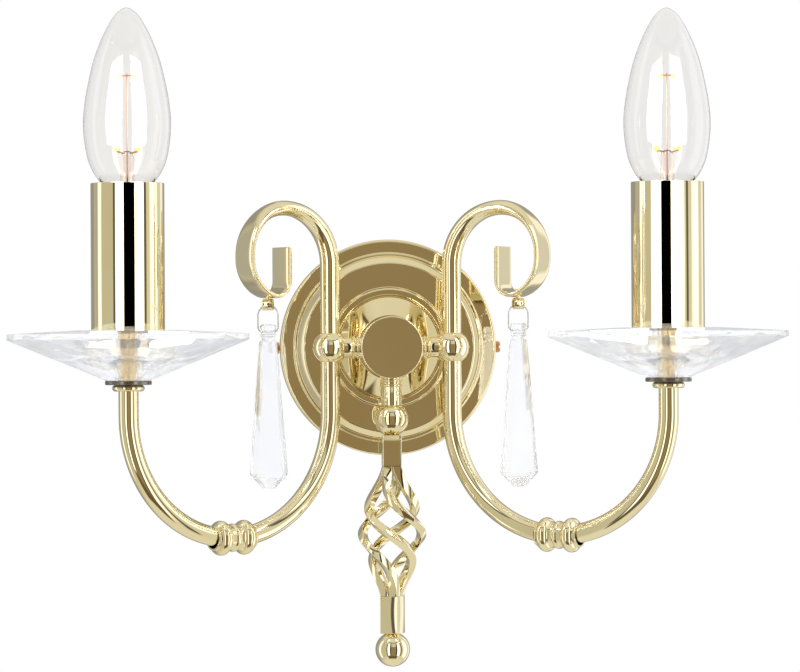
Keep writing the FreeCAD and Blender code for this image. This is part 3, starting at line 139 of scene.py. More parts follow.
def blend_colours(tree, share, first, second):
    """Colour between two hex values, by a share from 0 to 1."""
    mix = add_node(tree, "Mix", links={"Factor": share}, data_type="RGBA")
    mix.inputs[6].default_value = seen_colour(first)
    mix.inputs[7].default_value = seen_colour(second)
    return mix.outputs[2]


# %% [markdown]
# ## Finishes
#
# The metal is brass, polished to a mirror and lacquered. What tells it from a plain yellow
# mirror is small: the lacquer is a little thicker in places, the buffing wheel leaves
# hair-fine lines, and the surface waves very slightly. Those three come from noise at
# different sizes, driving colour, roughness and a faint bump.

# %% Metals
def metal(name, base, second, roughness, tint_mm=35.0, wave_mm=14.0, wave=0.012, hair_mm=0.7):
    """A metal with colour drift, buffing haze and a slight wave."""
    material, tree = new_material(name)
    drift = spread(tree, pattern(tree, tint_mm), 0.0, 1.0)
    colour = blend_colours(tree, drift, base, second)
    gloss = spread(tree, pattern(tree, hair_mm, detail=6.0, roughness=0.7), *roughness)
    return coated(material, colour, gloss, pattern(tree, wave_mm, detail=1.0), wave, {"Metallic": 1.0})


# Polished brass under clear lacquer: pale gold, sharp reflections.
polished_brass = metal("polished_brass", "#EFE5C2", "#ECDEB6", (0.018, 0.045))
# The plate is spun from sheet, so its flats are a touch less sharp than the turned balls.
spun_brass = metal("spun_brass_plate", "#EEE3BE", "#EADBB2", (0.022, 0.05), tint_mm=50.0)
# Machine-brushed copper plating on the two side screws.
copper_plate = metal("copper_plated_screw", "#DDA271", "#C98A5C", (0.16, 0.3), tint_mm=3.0)
# Bright zinc on pressed steel: grey-blue with a crystalline bloom.
zinc_steel = metal("zinc_plated_steel", "#C9CDD0", "#B4B9BF", (0.22, 0.42), tint_mm=6.0)
# Dull steel washer under the pan, darkened by handling.
washer_steel = metal("dull_steel_washer", "#8D8880", "#6E6963", (0.18, 0.34), tint_mm=4.0)
# Nickel on the lamp's screw shell.
nickel_shell = metal("nickel_lamp_shell", "#CFCBC2", "#BDB8AE", (0.14, 0.3), tint_mm=5.0)
# Spring brass of the contact, unlacquered and slightly browned.
contact_brass = metal("bare_contact_brass", "#D8BC7C", "#C09F5E", (0.2, 0.38), tint_mm=4.0)
# Drawn wire of the drop's ring, chromed.
ring_wire = metal("chromed_ring_wire", "#D6D6D6", "#BFBFC2", (0.06, 0.14), tint_mm=3.0)
# Copper carrier wires inside the lamp, pinkish and drawn bright.
carrier_wire = metal("drawn_copper_wire", "#EBC3AC", "#D9A88E", (0.12, 0.25), tint_mm=2.0)
print("metals:", len(bpy.data.materials))

# %% [markdown]
# ## Glass
#
# The pans and drops are thick lead crystal, cut and polished. The lamp's envelope is blown
# soda glass, thin and clear, on a pressed stem. All are true glass shaders on closed
# shapes, with a trace of colour drift and a barely uneven surface, as real glass has. The
# crystal also lets part of the light by unbent, glows faintly by itself, a painted glint in
# place of light caught by its facets, and has its skin broken into fields, which gives the
# look of many small facets simply.

# %% Glass
def glass(name, base, second, ior, roughness, wave_mm, wave,
          presence=1.0, painted_glow=0.0, cuts=False):
    """Clear glass with a faint drift of colour and an uneven skin.

    Presence is the share that bends and mirrors light; the emission strength is painted
    light, a faint glow of the glass's own that stands in for light caught by its facets;
    and cuts breaks the skin into small fields, each with its own tilt.
    """
    material, tree = new_material(name)
    drift = spread(tree, pattern(tree, 20.0), 0.0, 1.0)
    height = pattern(tree, wave_mm, detail=1.0)
    if cuts:
        place = add_node(tree, "TexCoord")
        fields = add_node(tree, "TexVoronoi", values={"Scale": 1.0 / (wave_mm * MM)},
                          links={"Vector": place.outputs["Object"]})
        height = fields.outputs["Distance"]
        drift = spread(tree, fields.outputs["Color"], 0.0, 1.0, 0.2, 0.8)
    colour = blend_colours(tree, drift, base, second)
    gloss = spread(tree, pattern(tree, 3.0), *roughness)
    # The emission is painted light: a faint glow in place of glints caught by the facets.
    return coated(material, colour, gloss, height, wave, {
        "IOR": ior, "Transmission Weight": 1.0, "Alpha": presence,
        "Emission Color": seen_colour("#F7F9FF"), "Emission Strength": painted_glow})


# Cut lead crystal, acid polished: water clear with a cool trace in the thick parts.
# Its emission is a painted glint: a faint glow in place of light caught by its cuts.
cut_crystal = glass("cut_lead_crystal", "#FFFFFF", "#E4E9FB", 1.45, (0.0, 0.012), 9.0, 0.5,
                    presence=0.7, painted_glow=0.12, cuts=True)
# The drops are the same crystal, but thin enough for light to slip by almost unbent.
# Its emission is a painted glint as well, a weaker one.
drop_crystal = glass("cut_drop_crystal", "#FFFFFF", "#F1F5FF", 1.5, (0.0, 0.012), 9.0, 0.01,
                     presence=0.6, painted_glow=0.05)
# Blown soda glass of the lamp.
blown_glass = glass("blown_lamp_glass", "#FCFBFA", "#FAF9F8", 1.45, (0.0, 0.01), 16.0, 0.01)
# The pressed stem inside the lamp, warmed by the wires in it.
stem_glass = glass("pressed_stem_glass", "#FFF4EE", "#FBE7DC", 1.50, (0.02, 0.08), 3.0, 0.06)
print("glasses:", [look.name for look in (cut_crystal, drop_crystal, blown_glass, stem_glass)])

# %% [markdown]
# ## Glow and plastics
#
# The filament rods are tiny yellow phosphor strips that glow almost white along their
# middle and stay yellow at their two ends, where they meet the carrier wires. A lamp
# object in each rod would light it evenly, so the glow is an emission whose colour and
# strength fall off towards the ends, on the rods' own heights. Plastics get a moulded
# skin: a fine grain and a slow drift of colour.

# %% Glow and plastics
GLOW_MIDDLE, GLOW_ENDS = 4.0, 1.2
PALE_SHARE, YELLOW_SHARE = 0.72, 0.98


def glowing(name, low_z, high_z):
    """Phosphor strip lit from inside, yellow at its ends."""
    material, tree = new_material(name)
    place = add_node(tree, "TexCoord")
    height = add_node(tree, "SeparateXYZ", links={"Vector": place.outputs["Object"]}).outputs["Z"]
    along = spread(tree, height, -1.0, 1.0, low_z, high_z)
    away = add_node(tree, "Math", links={0: along}, operation="ABSOLUTE").outputs["Value"]
    ends = spread(tree, away, 0.0, 1.0, PALE_SHARE, YELLOW_SHARE)
    grain = spread(tree, pattern(tree, 0.8), 0.0, 0.12)
    share = add_node(tree, "Math", links={0: ends, 1: grain}, operation="ADD", use_clamp=True)
    colour = blend_colours(tree, share.outputs["Value"], "#FFF8E6", "#FFDE66")
    strength = spread(tree, share.outputs["Value"], GLOW_MIDDLE, GLOW_ENDS, 0.0, 1.0)
    return shown(material, add_node(
        tree, "BsdfPrincipled", values={"Roughness": 0.6},
        links={"Base Color": colour, "Emission Color": colour, "Emission Strength": strength}))


def plastic(name, base, second, roughness, grain_mm=0.5, grain=0.15):
    """Moulded plastic with a fine grain."""
    material, tree = new_material(name)
    drift = spread(tree, pattern(tree, 8.0), 0.0, 1.0)
    colour = blend_colours(tree, drift, base, second)
    gloss = spread(tree, pattern(tree, 2.0), *roughness)
    return coated(material, colour, gloss, pattern(tree, grain_mm), grain, {"IOR": 1.5}, bump_mm=0.05)


# Heat-proof moulded holder, cream white.
holder_plastic = plastic("moulded_holder_plastic", "#E9E4D6", "#DDD7C6", (0.35, 0.5))
# Terminal block, white polyamide.
white_plastic = plastic("white_polyamide", "#ECECE8", "#DEDED8", (0.4, 0.55))
# Silicone sleeve of the leads.
lead_sleeve = plastic("silicone_lead_sleeve", "#C9C1AE", "#B8AF9A", (0.5, 0.65), grain_mm=1.5)
print("materials so far:", len(bpy.data.materials))

# %% [markdown]
# ## Shaping helpers
#
# Almost everything on this lamp was turned, bent or pressed. A turned piece is half its
# outline, spun round an axis. A bent tube is one ring of points, pushed along a path. A
# small set of helpers does those two, rounds the corners of an outline, and puts a
# finished mesh on its CAD body with its finish and the CAD node it stands for.

# %% Outlines
def rounded(points, radii, steps=5):
    """An open outline with each inner corner rounded by its radius."""
    result = [points[0]]
    for before, corner, after, radius in zip(points, points[1:], points[2:], radii):
        if radius <= 0:
            result.append(corner)
            continue
        a, c, b = Vector(before), Vector(corner), Vector(after)
        back, ahead = (a - c).normalized(), (b - c).normalized()
        half = math.acos(max(-1.0, min(1.0, back.dot(ahead)))) / 2
        reach = radius / math.tan(half)
        centre = c + (back + ahead).normalized() * (radius / math.sin(half))
        start, stop = c + back * reach - centre, c + ahead * reach - centre
        sweep = start.angle_signed(stop)
        for step in range(steps + 1):
            turn = Matrix.Rotation(-sweep * step / steps, 2)
            result.append(tuple(centre + turn @ start))
    result.append(points[-1])
    return result


def arc_points(centre, radius, start, stop, steps):
    """Points on a circle in an outline, angles in degrees from the radial direction."""
    angles = [math.radians(start + (stop - start) * i / steps) for i in range(steps + 1)]
    return [(centre[0] + radius * math.cos(angle), centre[1] + radius * math.sin(angle))
            for angle in angles]


# %% Meshes
X_UNIT, Y_UNIT, Z_UNIT = Vector((1, 0, 0)), Vector((0, 1, 0)), Vector((0, 0, 1))
TURN_STEPS = 96
SHARP_DEGREES = 32.0
# Points nearer than this, in metres, are one point: on a new mesh, and on a CAD mesh.
WELD, CAD_WELD = 2e-7, 1e-6
# Faces that lie within this many degrees of flat are one face.
FLAT_DEGREES = 0.2


def spun(outline, steps=TURN_STEPS, closed=False):
    """A turned solid about Z from (radius, height) points in millimetres."""
    bm = bmesh.new()
    verts = [bm.verts.new((radius * MM, 0, height * MM)) for radius, height in outline]
    pairs = list(zip(verts, verts[1:])) + ([(verts[-1], verts[0])] if closed else [])
    edges = [bm.edges.new(pair) for pair in pairs]
    bmesh.ops.spin(
        bm, geom=verts + edges, cent=(0, 0, 0), axis=(0, 0, 1),
        angle=2 * math.pi, steps=steps, use_merge=True,
    )
    bmesh.ops.remove_doubles(bm, verts=bm.verts, dist=WELD)
    return bm


def pushed(rings):
    """A solid made by pushing one ring of points through a list of rings."""
    bm = bmesh.new()
    count = len(rings[0])
    start = bmesh.ops.create_circle(bm, cap_ends=False, radius=MM, segments=count)["verts"]
    for vert, place in zip(start, rings[0]):
        vert.co = place
    ring = list(start)
    edges = list(bm.edges)
    for places in rings[1:]:
        made = bmesh.ops.extrude_edge_only(bm, edges=edges)["geom"]
        new = {v for v in made if isinstance(v, bmesh.types.BMVert)}
        edges = [e for e in made if isinstance(e, bmesh.types.BMEdge)
                 and e.verts[0] in new and e.verts[1] in new]
        ring = [next(e.other_vert(v) for e in v.link_edges if e.other_vert(v) in new) for v in ring]
        for vert, place in zip(ring, places):
            vert.co = place
    bmesh.ops.holes_fill(bm, edges=[e for e in bm.edges if e.is_boundary])
    return bm


def merged(*meshes):
    """Several bmeshes as one."""
    first = meshes[0]
    for other in meshes[1:]:
        keep = bpy.data.meshes.new("joined")
        other.to_mesh(keep)
        first.from_mesh(keep)
        bpy.data.meshes.remove(keep)
        other.free()
    return first


def moved(bm, matrix):
    """Move a bmesh; returns it."""
    bmesh.ops.transform(bm, matrix=matrix, verts=bm.verts)
    return bm


def turned(degrees, axis):
    """A turn about an axis."""
    return Matrix.Rotation(math.radians(degrees), 4, axis)


def placed(x, y, z):
    """A shift in millimetres."""
    return Matrix.Translation((x * MM, y * MM, z * MM))


def round_ring(centre, first, second, radius, count):
    """Points on a circle in the plane of two directions, from millimetres."""
    angles = [2 * math.pi * i / count for i in range(count)]
    return [(centre + first * (radius * math.cos(angle)) + second * (radius * math.sin(angle))) * MM
            for angle in angles]


def softened(bm, width_mm, segments=2, above=25.0):
    """Small bevel on the sharp edges, as polishing leaves."""
    limit = math.radians(above)
    sharp = [e for e in bm.edges if e.is_manifold and e.calc_face_angle(0.0) > limit]
    bmesh.ops.bevel(bm, geom=sharp, offset=width_mm * MM, affect="EDGES", segments=segments,
                    profile=0.5, material=-1, clamp_overlap=True)
    return bm


def finished(bm, name, material, body, nodes, sharp=SHARP_DEGREES):
    """Turn a bmesh into a piece that rides its body and stands for CAD nodes."""
    bmesh.ops.recalc_face_normals(bm, faces=bm.faces)
    limit = math.radians(sharp)
    for edge in bm.edges:
        edge.smooth = edge.is_manifold and edge.calc_face_angle(0.0) < limit
    for face in bm.faces:
        face.smooth = True
    mesh = bpy.data.meshes.new(name)
    bm.to_mesh(mesh)
    bm.free()
    piece = bpy.data.objects.new(name, mesh)
    bpy.context.scene.collection.objects.link(piece)
    mesh.materials.append(material)
    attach(piece, body)
    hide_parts(*nodes)
    print(name, len(mesh.polygons), "faces")
    return piece


def both_sides(bm, name, material, body, nodes, sharp=SHARP_DEGREES):
    """The right-hand piece and its mirrored left-hand twin."""
    twin = bm.copy()
    bmesh.ops.scale(twin, vec=(-1, 1, 1), verts=twin.verts)
    for side, shape in (("right", bm), ("left", twin)):
        finished(shape, f"{side}_{name}", material, body.format(side=side),
                 [f"{side}_{node}" for node in nodes], sharp)


def in_brass(bm, name, node, sharp=SHARP_DEGREES):
    """A polished brass piece that is fixed to the frame."""
    finished(bm, name, polished_brass, "frame", [node], sharp)


def brass_pair(bm, name, node):
    """The same on both sides."""
    both_sides(bm, name, polished_brass, "frame", [node])


def dressed(node, material, bevel_mm=0.0, sharp=SHARP_DEGREES):
    """A merged copy of a CAD node's own mesh, with eased edges, as a piece."""
    bm = bmesh.new()
    bm.from_mesh(frame["nodes"][node].data)
    bmesh.ops.remove_doubles(bm, verts=bm.verts, dist=CAD_WELD)
    flat = math.radians(FLAT_DEGREES)
    bmesh.ops.dissolve_limit(bm, angle_limit=flat, verts=bm.verts, edges=bm.edges)
    if bevel_mm:
        softened(bm, bevel_mm)
    body = frame["nodes"][node]["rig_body"]
    return finished(bm, node + "_finished", material, body, [node], sharp)


# %% [markdown]
# ## Backplate and hub
#
# The plate is spun from brass sheet over a form: a rolled rim, a flat band, a step with a
# small bead at its foot, an inner flat, a raised bead and a cone up to the hub. Spinning
# the same outline here gives the same shape, and the small radii at each corner are what
# draw the thin bright and dark rings.

# %% Backplate
PLATE_STEPS = 192
PLATE_FRONT = rounded(
    [
        (45.3, 0.5), (45.3, 12.0), (39.7, 12.0), (39.5, 13.4), (38.3, 13.5), (37.9, 14.6),
        (35.6, 18.0), (25.2, 18.0), (24.6, 20.1), (22.0, 20.1), (21.4, 19.0), (13.4, 25.0),
        (5.1, 25.0),
    ],
    [1.2, 0.4, 0.45, 0.35, 0.6, 1.3, 0.35, 0.9, 0.9, 0.3, 0.3],
)
TOWARDS_ROOM = turned(90, "X")
PLATE_BACK = [
    (5.1, 24.0), (13.2, 24.0), (21.0, 18.2), (22.4, 18.9), (24.0, 18.9), (24.6, 17.0),
    (35.0, 17.0), (37.2, 13.8), (38.2, 11.0), (44.3, 11.0), (44.3, 0.5),
]
plate = moved(spun(PLATE_FRONT + PLATE_BACK, steps=PLATE_STEPS, closed=True), TOWARDS_ROOM)
finished(plate, "backplate_spun", spun_brass, "frame", ["backplate"])

# %% Hub and cap
HUB_SEAT_DEPTH, CAP_STEPS = 25.0, 128
HUB_RADIUS, HUB_LENGTH, HUB_BORE = 12.5, 11.5, 5.1
CHAMBER_RADIUS, CHAMBER_FLOOR = 8.0, 2.5
DISC_RADIUS, DISC_THICK, PLUG_RADIUS, PLUG_DEPTH = 12.9, 1.8, 7.95, 2.0
hub_place = placed(0, -HUB_SEAT_DEPTH, 0) @ TOWARDS_ROOM
hub_wall = rounded(
    [(HUB_BORE, 0.0), (HUB_RADIUS, 0.0), (HUB_RADIUS, HUB_LENGTH), (CHAMBER_RADIUS, HUB_LENGTH),
     (CHAMBER_RADIUS, CHAMBER_FLOOR), (HUB_BORE, CHAMBER_FLOOR)],
    [0.5, 0.3, 0.1, 0.1])
in_brass(moved(spun(hub_wall, closed=True), hub_place), "hub_turned", "hub_body")
cap_outline = rounded(
    [(0.0, HUB_LENGTH - PLUG_DEPTH), (PLUG_RADIUS, HUB_LENGTH - PLUG_DEPTH), (PLUG_RADIUS, HUB_LENGTH),
     (DISC_RADIUS, HUB_LENGTH), (DISC_RADIUS, HUB_LENGTH + DISC_THICK), (0.0, HUB_LENGTH + DISC_THICK)],
    [0.1, 0.1, 0.35, 0.55])
in_brass(moved(spun(cap_outline, steps=CAP_STEPS), hub_place), "hub_cap_turned", "hub_cap")

# %% [markdown]
# ## Stubs and balls
#
# Three short stubs leave the hub, each with two turned beads, and end in a ball. A ball is
# half a circle spun about the upright axis, open above and below where the tubes go in,
# with a tiny round at each mouth that catches the light.

# %% Stubs
ROOT_X, ROOT_Y = 25.3, -30.0
PENDANT_BALL_Z, FINIAL_Z = -29.7, -125.2
STUB_RADIUS, STUB_BORE, STUB_ROOT = 4.3, 3.0, 10.0
BEAD_RADIUS, BEAD_WIDTH, BEAD_GAP = 4.75, 1.1, 0.8
# The tool runs this far into the stub beside each bead, and this far along it.
BEAD_DIP, BEAD_RUN = 0.12, 0.1
BALL_SEAT = 5.0


def stub_shape(ball_distance):
    """Stub with two beads, along Z from the hub's axis."""
    outline = [(STUB_BORE, STUB_ROOT), (STUB_RADIUS, STUB_ROOT)]
    for bead in range(2):
        low = HUB_RADIUS + BEAD_GAP + bead * (BEAD_WIDTH + BEAD_GAP)
        middle = low + BEAD_WIDTH / 2
        outline.append((STUB_RADIUS - BEAD_DIP, low - BEAD_RUN))
        outline += arc_points((BEAD_RADIUS - BEAD_WIDTH / 2, middle), BEAD_WIDTH / 2, -72, 72, 8)
        outline.append((STUB_RADIUS - BEAD_DIP, low + BEAD_WIDTH + BEAD_RUN))
    end = ball_distance - BALL_SEAT
    outline += [(STUB_RADIUS, low + BEAD_WIDTH + 0.35), (STUB_RADIUS, end), (STUB_BORE, end)]
    return spun(outline, steps=64, closed=True)


stub_place = placed(0, ROOT_Y, 0) @ turned(90, "Y")
brass_pair(moved(stub_shape(ROOT_X), stub_place), "stub_turned", "arm_stub")
down_place = placed(0, ROOT_Y, 0) @ turned(180, "Y")
in_brass(moved(stub_shape(-PENDANT_BALL_Z), down_place), "bottom_stub_turned", "bottom_stub")

# %% Balls
BALL_RADIUS = 7.2
TUBE_MOUTH, BAR_MOUTH = 4.05, 4.35
# The lip's reach round the ball in degrees, and its steps into the hole in millimetres.
LIP_DEGREES, LIP_STEP, LIP_DEPTH, LIP_START = 1.6, 0.02, 0.25, 0.05


def ball_shape(mouth_above, mouth_below, depth=2.5):
    """Ball with a round hole above and below, each with an eased lip."""
    top = math.degrees(math.acos(mouth_above / BALL_RADIUS)) if mouth_above else 90.0
    foot = -math.degrees(math.acos(mouth_below / BALL_RADIUS)) if mouth_below else -90.0
    outline = arc_points((0, 0), BALL_RADIUS, foot + LIP_DEGREES * bool(mouth_below),
                         top - LIP_DEGREES * bool(mouth_above), 40)
    if mouth_above:
        rim = BALL_RADIUS * math.sin(math.radians(top))
        outline += [(mouth_above + LIP_STEP, rim - LIP_START), (mouth_above, rim - LIP_DEPTH),
                    (mouth_above, depth), (0, depth)]
    if mouth_below:
        rim = BALL_RADIUS * math.sin(math.radians(foot))
        outline = [(0, -depth), (mouth_below, -depth), (mouth_below, rim + LIP_DEPTH),
                   (mouth_below + LIP_STEP, rim + LIP_START)] + outline
    return spun(outline)


root_place = placed(ROOT_X, ROOT_Y, 0)
brass_pair(moved(ball_shape(TUBE_MOUTH, TUBE_MOUTH), root_place), "root_ball_turned", "root_ball")
pendant_place = placed(0, ROOT_Y, PENDANT_BALL_Z)
in_brass(moved(ball_shape(BAR_MOUTH, 0), pendant_place), "pendant_ball_turned", "pendant_ball")
finial_place = placed(0, ROOT_Y, FINIAL_Z)
in_brass(moved(ball_shape(0, 0), finial_place), "finial_ball_turned", "finial_ball")

# %% [markdown]
# ## Arms
#
# Each arm is two lengths of bent tube that meet inside a two-bead knuckle. The tube is a
# ring of points spun round the bend's centre and then pushed straight, which keeps the
# faces square to the path. The arm stands out from the wall at an angle, so every arm
# piece is drawn in its own upright plane first and then turned into place.

# %% Arm plane
ARM_ANGLE = 34.0
TUBE_RADIUS, TUBE_POINTS = 4.0, 40
BEND_RADIUS = 50.0
BEND_Z = -27.0
ARM_TOP = -16.0
CANDLE_U = 100.0
# Tube and scroll start this far from the middle of the root ball.
BALL_HOLD = 4.6
ARM_PLACE = root_place @ turned(-ARM_ANGLE, "Z")


def tube_ring(centre, normal):
    """Ring of the arm tube, in the plane of the bend's outward direction and Y."""
    return round_ring(centre, normal, Y_UNIT, TUBE_RADIUS, TUBE_POINTS)


def bend_rings(start, stop, steps):
    """Rings along the arm's bend between two angles."""
    rings = []
    for i in range(steps + 1):
        angle = math.radians(start + (stop - start) * i / steps)
        normal = Vector((math.cos(angle), 0, math.sin(angle)))
        centre = Vector((BEND_RADIUS, 0, BEND_Z)) + normal * BEND_RADIUS
        rings.append(tube_ring(centre, normal))
    return rings


BEND_STEPS = 48
HALF_GAP = 0.5
GAP_DEGREES = math.degrees(HALF_GAP / BEND_RADIUS)
inner_rings = [tube_ring(Z_UNIT * -BALL_HOLD, -X_UNIT)]
inner_rings += bend_rings(180, 270 - GAP_DEGREES, BEND_STEPS)
brass_pair(moved(pushed(inner_rings), ARM_PLACE), "arm_tube_inner", "arm_inner_tube")
outer_rings = bend_rings(270 + GAP_DEGREES, 360, BEND_STEPS)
outer_rings.append(tube_ring(Vector((CANDLE_U, 0, ARM_TOP)), X_UNIT))
brass_pair(moved(pushed(outer_rings), ARM_PLACE), "arm_tube_outer", "arm_outer_tube")

# %% [markdown]
# The knuckle hides the joint of the two tubes. It is turned in one piece: a thin bead at
# each end, two fat ones and a smaller one between. The outline is those five arcs with
# the valleys between them, spun round the tube's line at the foot of the bend.

# %% Knuckles
KNUCKLE_BORE, KNUCKLE_FACE, KNUCKLE_HALF = 4.2, 4.9, 9.6
END_MIDDLE, END_CENTRE, END_ROUND = 8.9, 4.6, 0.5
FAT_MIDDLE, FAT_CENTRE, FAT_ROUND, FAT_HALF = 5.75, 4.5, 2.6, 2.75
OUTER_VALLEY, INNER_VALLEY, SMALL_ROUND = 5.0, 5.3, 1.6
knuckle_outline = [(KNUCKLE_BORE, -KNUCKLE_HALF), (KNUCKLE_FACE, -KNUCKLE_HALF)]
knuckle_outline += arc_points((END_CENTRE, -END_MIDDLE), END_ROUND, -60, 60, 5)
knuckle_outline.append((OUTER_VALLEY, -FAT_MIDDLE - FAT_HALF))
knuckle_outline += arc_points((FAT_CENTRE, -FAT_MIDDLE), FAT_ROUND, -68, 68, 14)
knuckle_outline.append((INNER_VALLEY, -FAT_MIDDLE + FAT_HALF))
knuckle_outline += arc_points((KNUCKLE_BORE, 0.0), SMALL_ROUND, -45, 45, 8)
knuckle_outline += [(INNER_VALLEY, FAT_MIDDLE - FAT_HALF), (OUTER_VALLEY, FAT_MIDDLE - FAT_HALF)]
knuckle_outline += arc_points((FAT_CENTRE, FAT_MIDDLE), FAT_ROUND, -68, 68, 14)
knuckle_outline.append((OUTER_VALLEY, FAT_MIDDLE + FAT_HALF))
knuckle_outline += arc_points((END_CENTRE, END_MIDDLE), END_ROUND, -60, 60, 5)
knuckle_outline += [(KNUCKLE_FACE, KNUCKLE_HALF), (KNUCKLE_BORE, KNUCKLE_HALF)]
knuckle_place = ARM_PLACE @ placed(BEND_RADIUS, 0, BEND_Z - BEND_RADIUS) @ turned(90, "Y")
knuckle = moved(spun(knuckle_outline, closed=True), knuckle_place)
brass_pair(knuckle, "arm_knuckle_turned", "arm_knuckle")

# %% [markdown]
# ## Scrolls
#
# The scroll starts as the same tube, rises from the ball, turns over and is pressed flat
# on its way round, ending in a strip that curls up behind itself. Its section changes all
# the way, so a ring of points is pushed along the path and reshaped at each step: a
# circle, then an oval, then a flat bar with round edges.

# %% Scroll path
RISE, ARCH, SHOULDER, FALL = 34.2, 23.2, 19.6, 1.5
BELLY, BELLY_TURN, CURL, TAIL = 15.5, 72.0, 6.0, 14.0
STRIP_THICK, STRIP_WIDE = 1.95, 12.2
TOP_THICK, TOP_WIDE = 6.2, 9.6


def on_circle(u, z, radius, degrees):
    """Point in the arm plane on a circle."""
    angle = math.radians(degrees)
    return Vector((u + radius * math.cos(angle), 0, z + radius * math.sin(angle)))


shoulder_z = RISE + ARCH - SHOULDER
belly_u = ARCH + SHOULDER - BELLY
belly_z = shoulder_z - FALL
curl_middle = on_circle(belly_u, belly_z, BELLY - CURL, -BELLY_TURN)
CURVES = [
    (ARCH, RISE, ARCH, 180, 90),
    (ARCH, shoulder_z, SHOULDER, 90, 0),
    (belly_u, belly_z, BELLY, 0, -BELLY_TURN),
    (curl_middle.x, curl_middle.z, CURL, -BELLY_TURN, -180),
]


def scroll_path(spacing=1.0):
    """Points, outward normals and lengths along the scroll."""
    path = []

    def straight(start, end, normal):
        steps = max(1, round((end - start).length / spacing))
        for i in range(steps):
            path.append((start.lerp(end, i / steps), normal))

    def curve(u, z, radius, start, end):
        steps = max(4, round(radius * math.radians(abs(end - start)) / spacing))
        for i in range(steps):
            degrees = start + (end - start) * i / steps
            path.append((on_circle(u, z, radius, degrees), on_circle(0, 0, 1, degrees)))

    straight(Z_UNIT * BALL_HOLD, Z_UNIT * RISE, -X_UNIT)
    curve(*CURVES[0])
    curve(*CURVES[1])
    right = X_UNIT * (belly_u + BELLY)
    straight(right + Z_UNIT * shoulder_z, right + Z_UNIT * belly_z, X_UNIT)
    curve(*CURVES[2])
    curve(*CURVES[3])
    tail = on_circle(*CURVES[3][:3], -180)
    straight(tail, tail + Z_UNIT * TAIL, -X_UNIT)
    path.append((tail + Z_UNIT * TAIL, -X_UNIT))
    return path


def smooth_step(value):
    """0 to 1, level at both ends."""
    value = min(1.0, max(0.0, value))
    return value * value * (3 - 2 * value)


# %% Scroll shape
SECTION_POINTS = 48
# How far the section goes from an oval, 0, to a bar with square corners, 1.
STRIP_SQUARE = 0.62
STRIP_EDGE = 0.35
tube_wide = 2 * TUBE_RADIUS
rise_length = RISE - BALL_HOLD
arch_length = ARCH * math.pi / 2
shoulder_length = SHOULDER * math.pi / 2
rings = []
travelled, previous = 0.0, None
for point, normal in scroll_path():
    travelled += (point - previous).length if previous else 0.0
    previous = point
    first = smooth_step((travelled - rise_length) / arch_length)
    second = smooth_step((travelled - rise_length - arch_length) / shoulder_length)
    thick = tube_wide + (TOP_THICK - tube_wide) * first + (STRIP_THICK - TOP_THICK) * second
    wide = tube_wide + (TOP_WIDE - tube_wide) * first + (STRIP_WIDE - TOP_WIDE) * second
    power = 1 - STRIP_SQUARE * second
    ring = []
    for i in range(SECTION_POINTS):
        angle = 2 * math.pi * i / SECTION_POINTS
        across = math.copysign(abs(math.cos(angle)) ** power, math.cos(angle)) * thick / 2
        along = math.copysign(abs(math.sin(angle)) ** power, math.sin(angle)) * wide / 2
        ring.append((point + normal * across + Y_UNIT * along) * MM)
    rings.append(ring)
scroll = softened(pushed(rings), STRIP_EDGE, segments=3, above=60.0)
brass_pair(moved(scroll, ARM_PLACE), "scroll_pressed", "scroll")
print("scroll length in millimetres", round(travelled, 1))

# %% [markdown]
# ## Pendant
#
# Under the bottom stub hangs a square bar that opens into a basket of four twisted square
# rods, closes into a second bar and ends in a ball. A screw modifier can't swell and
# close again, so each rod is a small square with eased corners, pushed along a swelling
# helix and turned with it, and a little thinner midway, where the metal stretched.

# %% Square bars
BAR_SIDE, BAR_TOP, BASKET_TOP, BASKET_FOOT, BAR_FOOT = 8.0, -36.3, -49.3, -103.0, -118.6
# The lower bar leaves the twisting vice turned a little, as the light on its face shows.
BAR_TURN = 27.0
BAR_CORNER, ROD_CORNER = 0.45, 0.3
BAR_SHARP, ROD_SHARP = 40, 50
# How the filed end of a bar draws in: distance from its end, and inset of each side.
BAR_END = ((0.0, 0.35), (0.1, 0.12), (0.35, 0.0))


def square_ring(centre, first, second, half, corner, steps=3):
    """Rounded square of points about a centre, in millimetres."""
    ring = []
    inner = half - corner
    for quarter in range(4):
        diagonal = math.radians(90 * quarter + 45)
        for i in range(steps + 1):
            angle = math.radians(90 * quarter + 90 * i / steps)
            x = math.copysign(inner, math.cos(diagonal)) + corner * math.cos(angle)
            y = math.copysign(inner, math.sin(diagonal)) + corner * math.sin(angle)
            ring.append((centre + first * x + second * y) * MM)
    return ring


def bar_shape(top, foot, turn=0.0):
    """Square bar with eased edges and eased ends, turned about its own axis."""
    spin = Matrix.Rotation(math.radians(turn), 3, "Z")
    stations = [(top - away, inset) for away, inset in BAR_END]
    stations += [(foot + away, inset) for away, inset in reversed(BAR_END)]
    return pushed([
        square_ring(Vector((0, ROOT_Y, height)), spin @ X_UNIT, spin @ Y_UNIT,
                    BAR_SIDE / 2 - inset, BAR_CORNER)
        for height, inset in stations])


in_brass(bar_shape(BAR_TOP, BASKET_TOP), "pendant_bar_top", "pendant_top_bar", BAR_SHARP)
in_brass(bar_shape(BASKET_FOOT, BAR_FOOT, -BAR_TURN), "pendant_bar_foot", "pendant_lower_bar", BAR_SHARP)

# %% Basket
BASKET_RADIUS, BASKET_TWIST, SWELL_POWER = 14.1, 270.0 - BAR_TURN, 1.6
ROD_SIDE, ROD_WAIST, ROD_STEPS = 3.8, 0.7, 72
# Share of the rod's length either side of a point that gives its direction there.
ROD_GLANCE = 0.004
rod_start = BAR_SIDE / 4 * math.sqrt(2)
rod_swell = BASKET_RADIUS - ROD_SIDE / 2 - rod_start


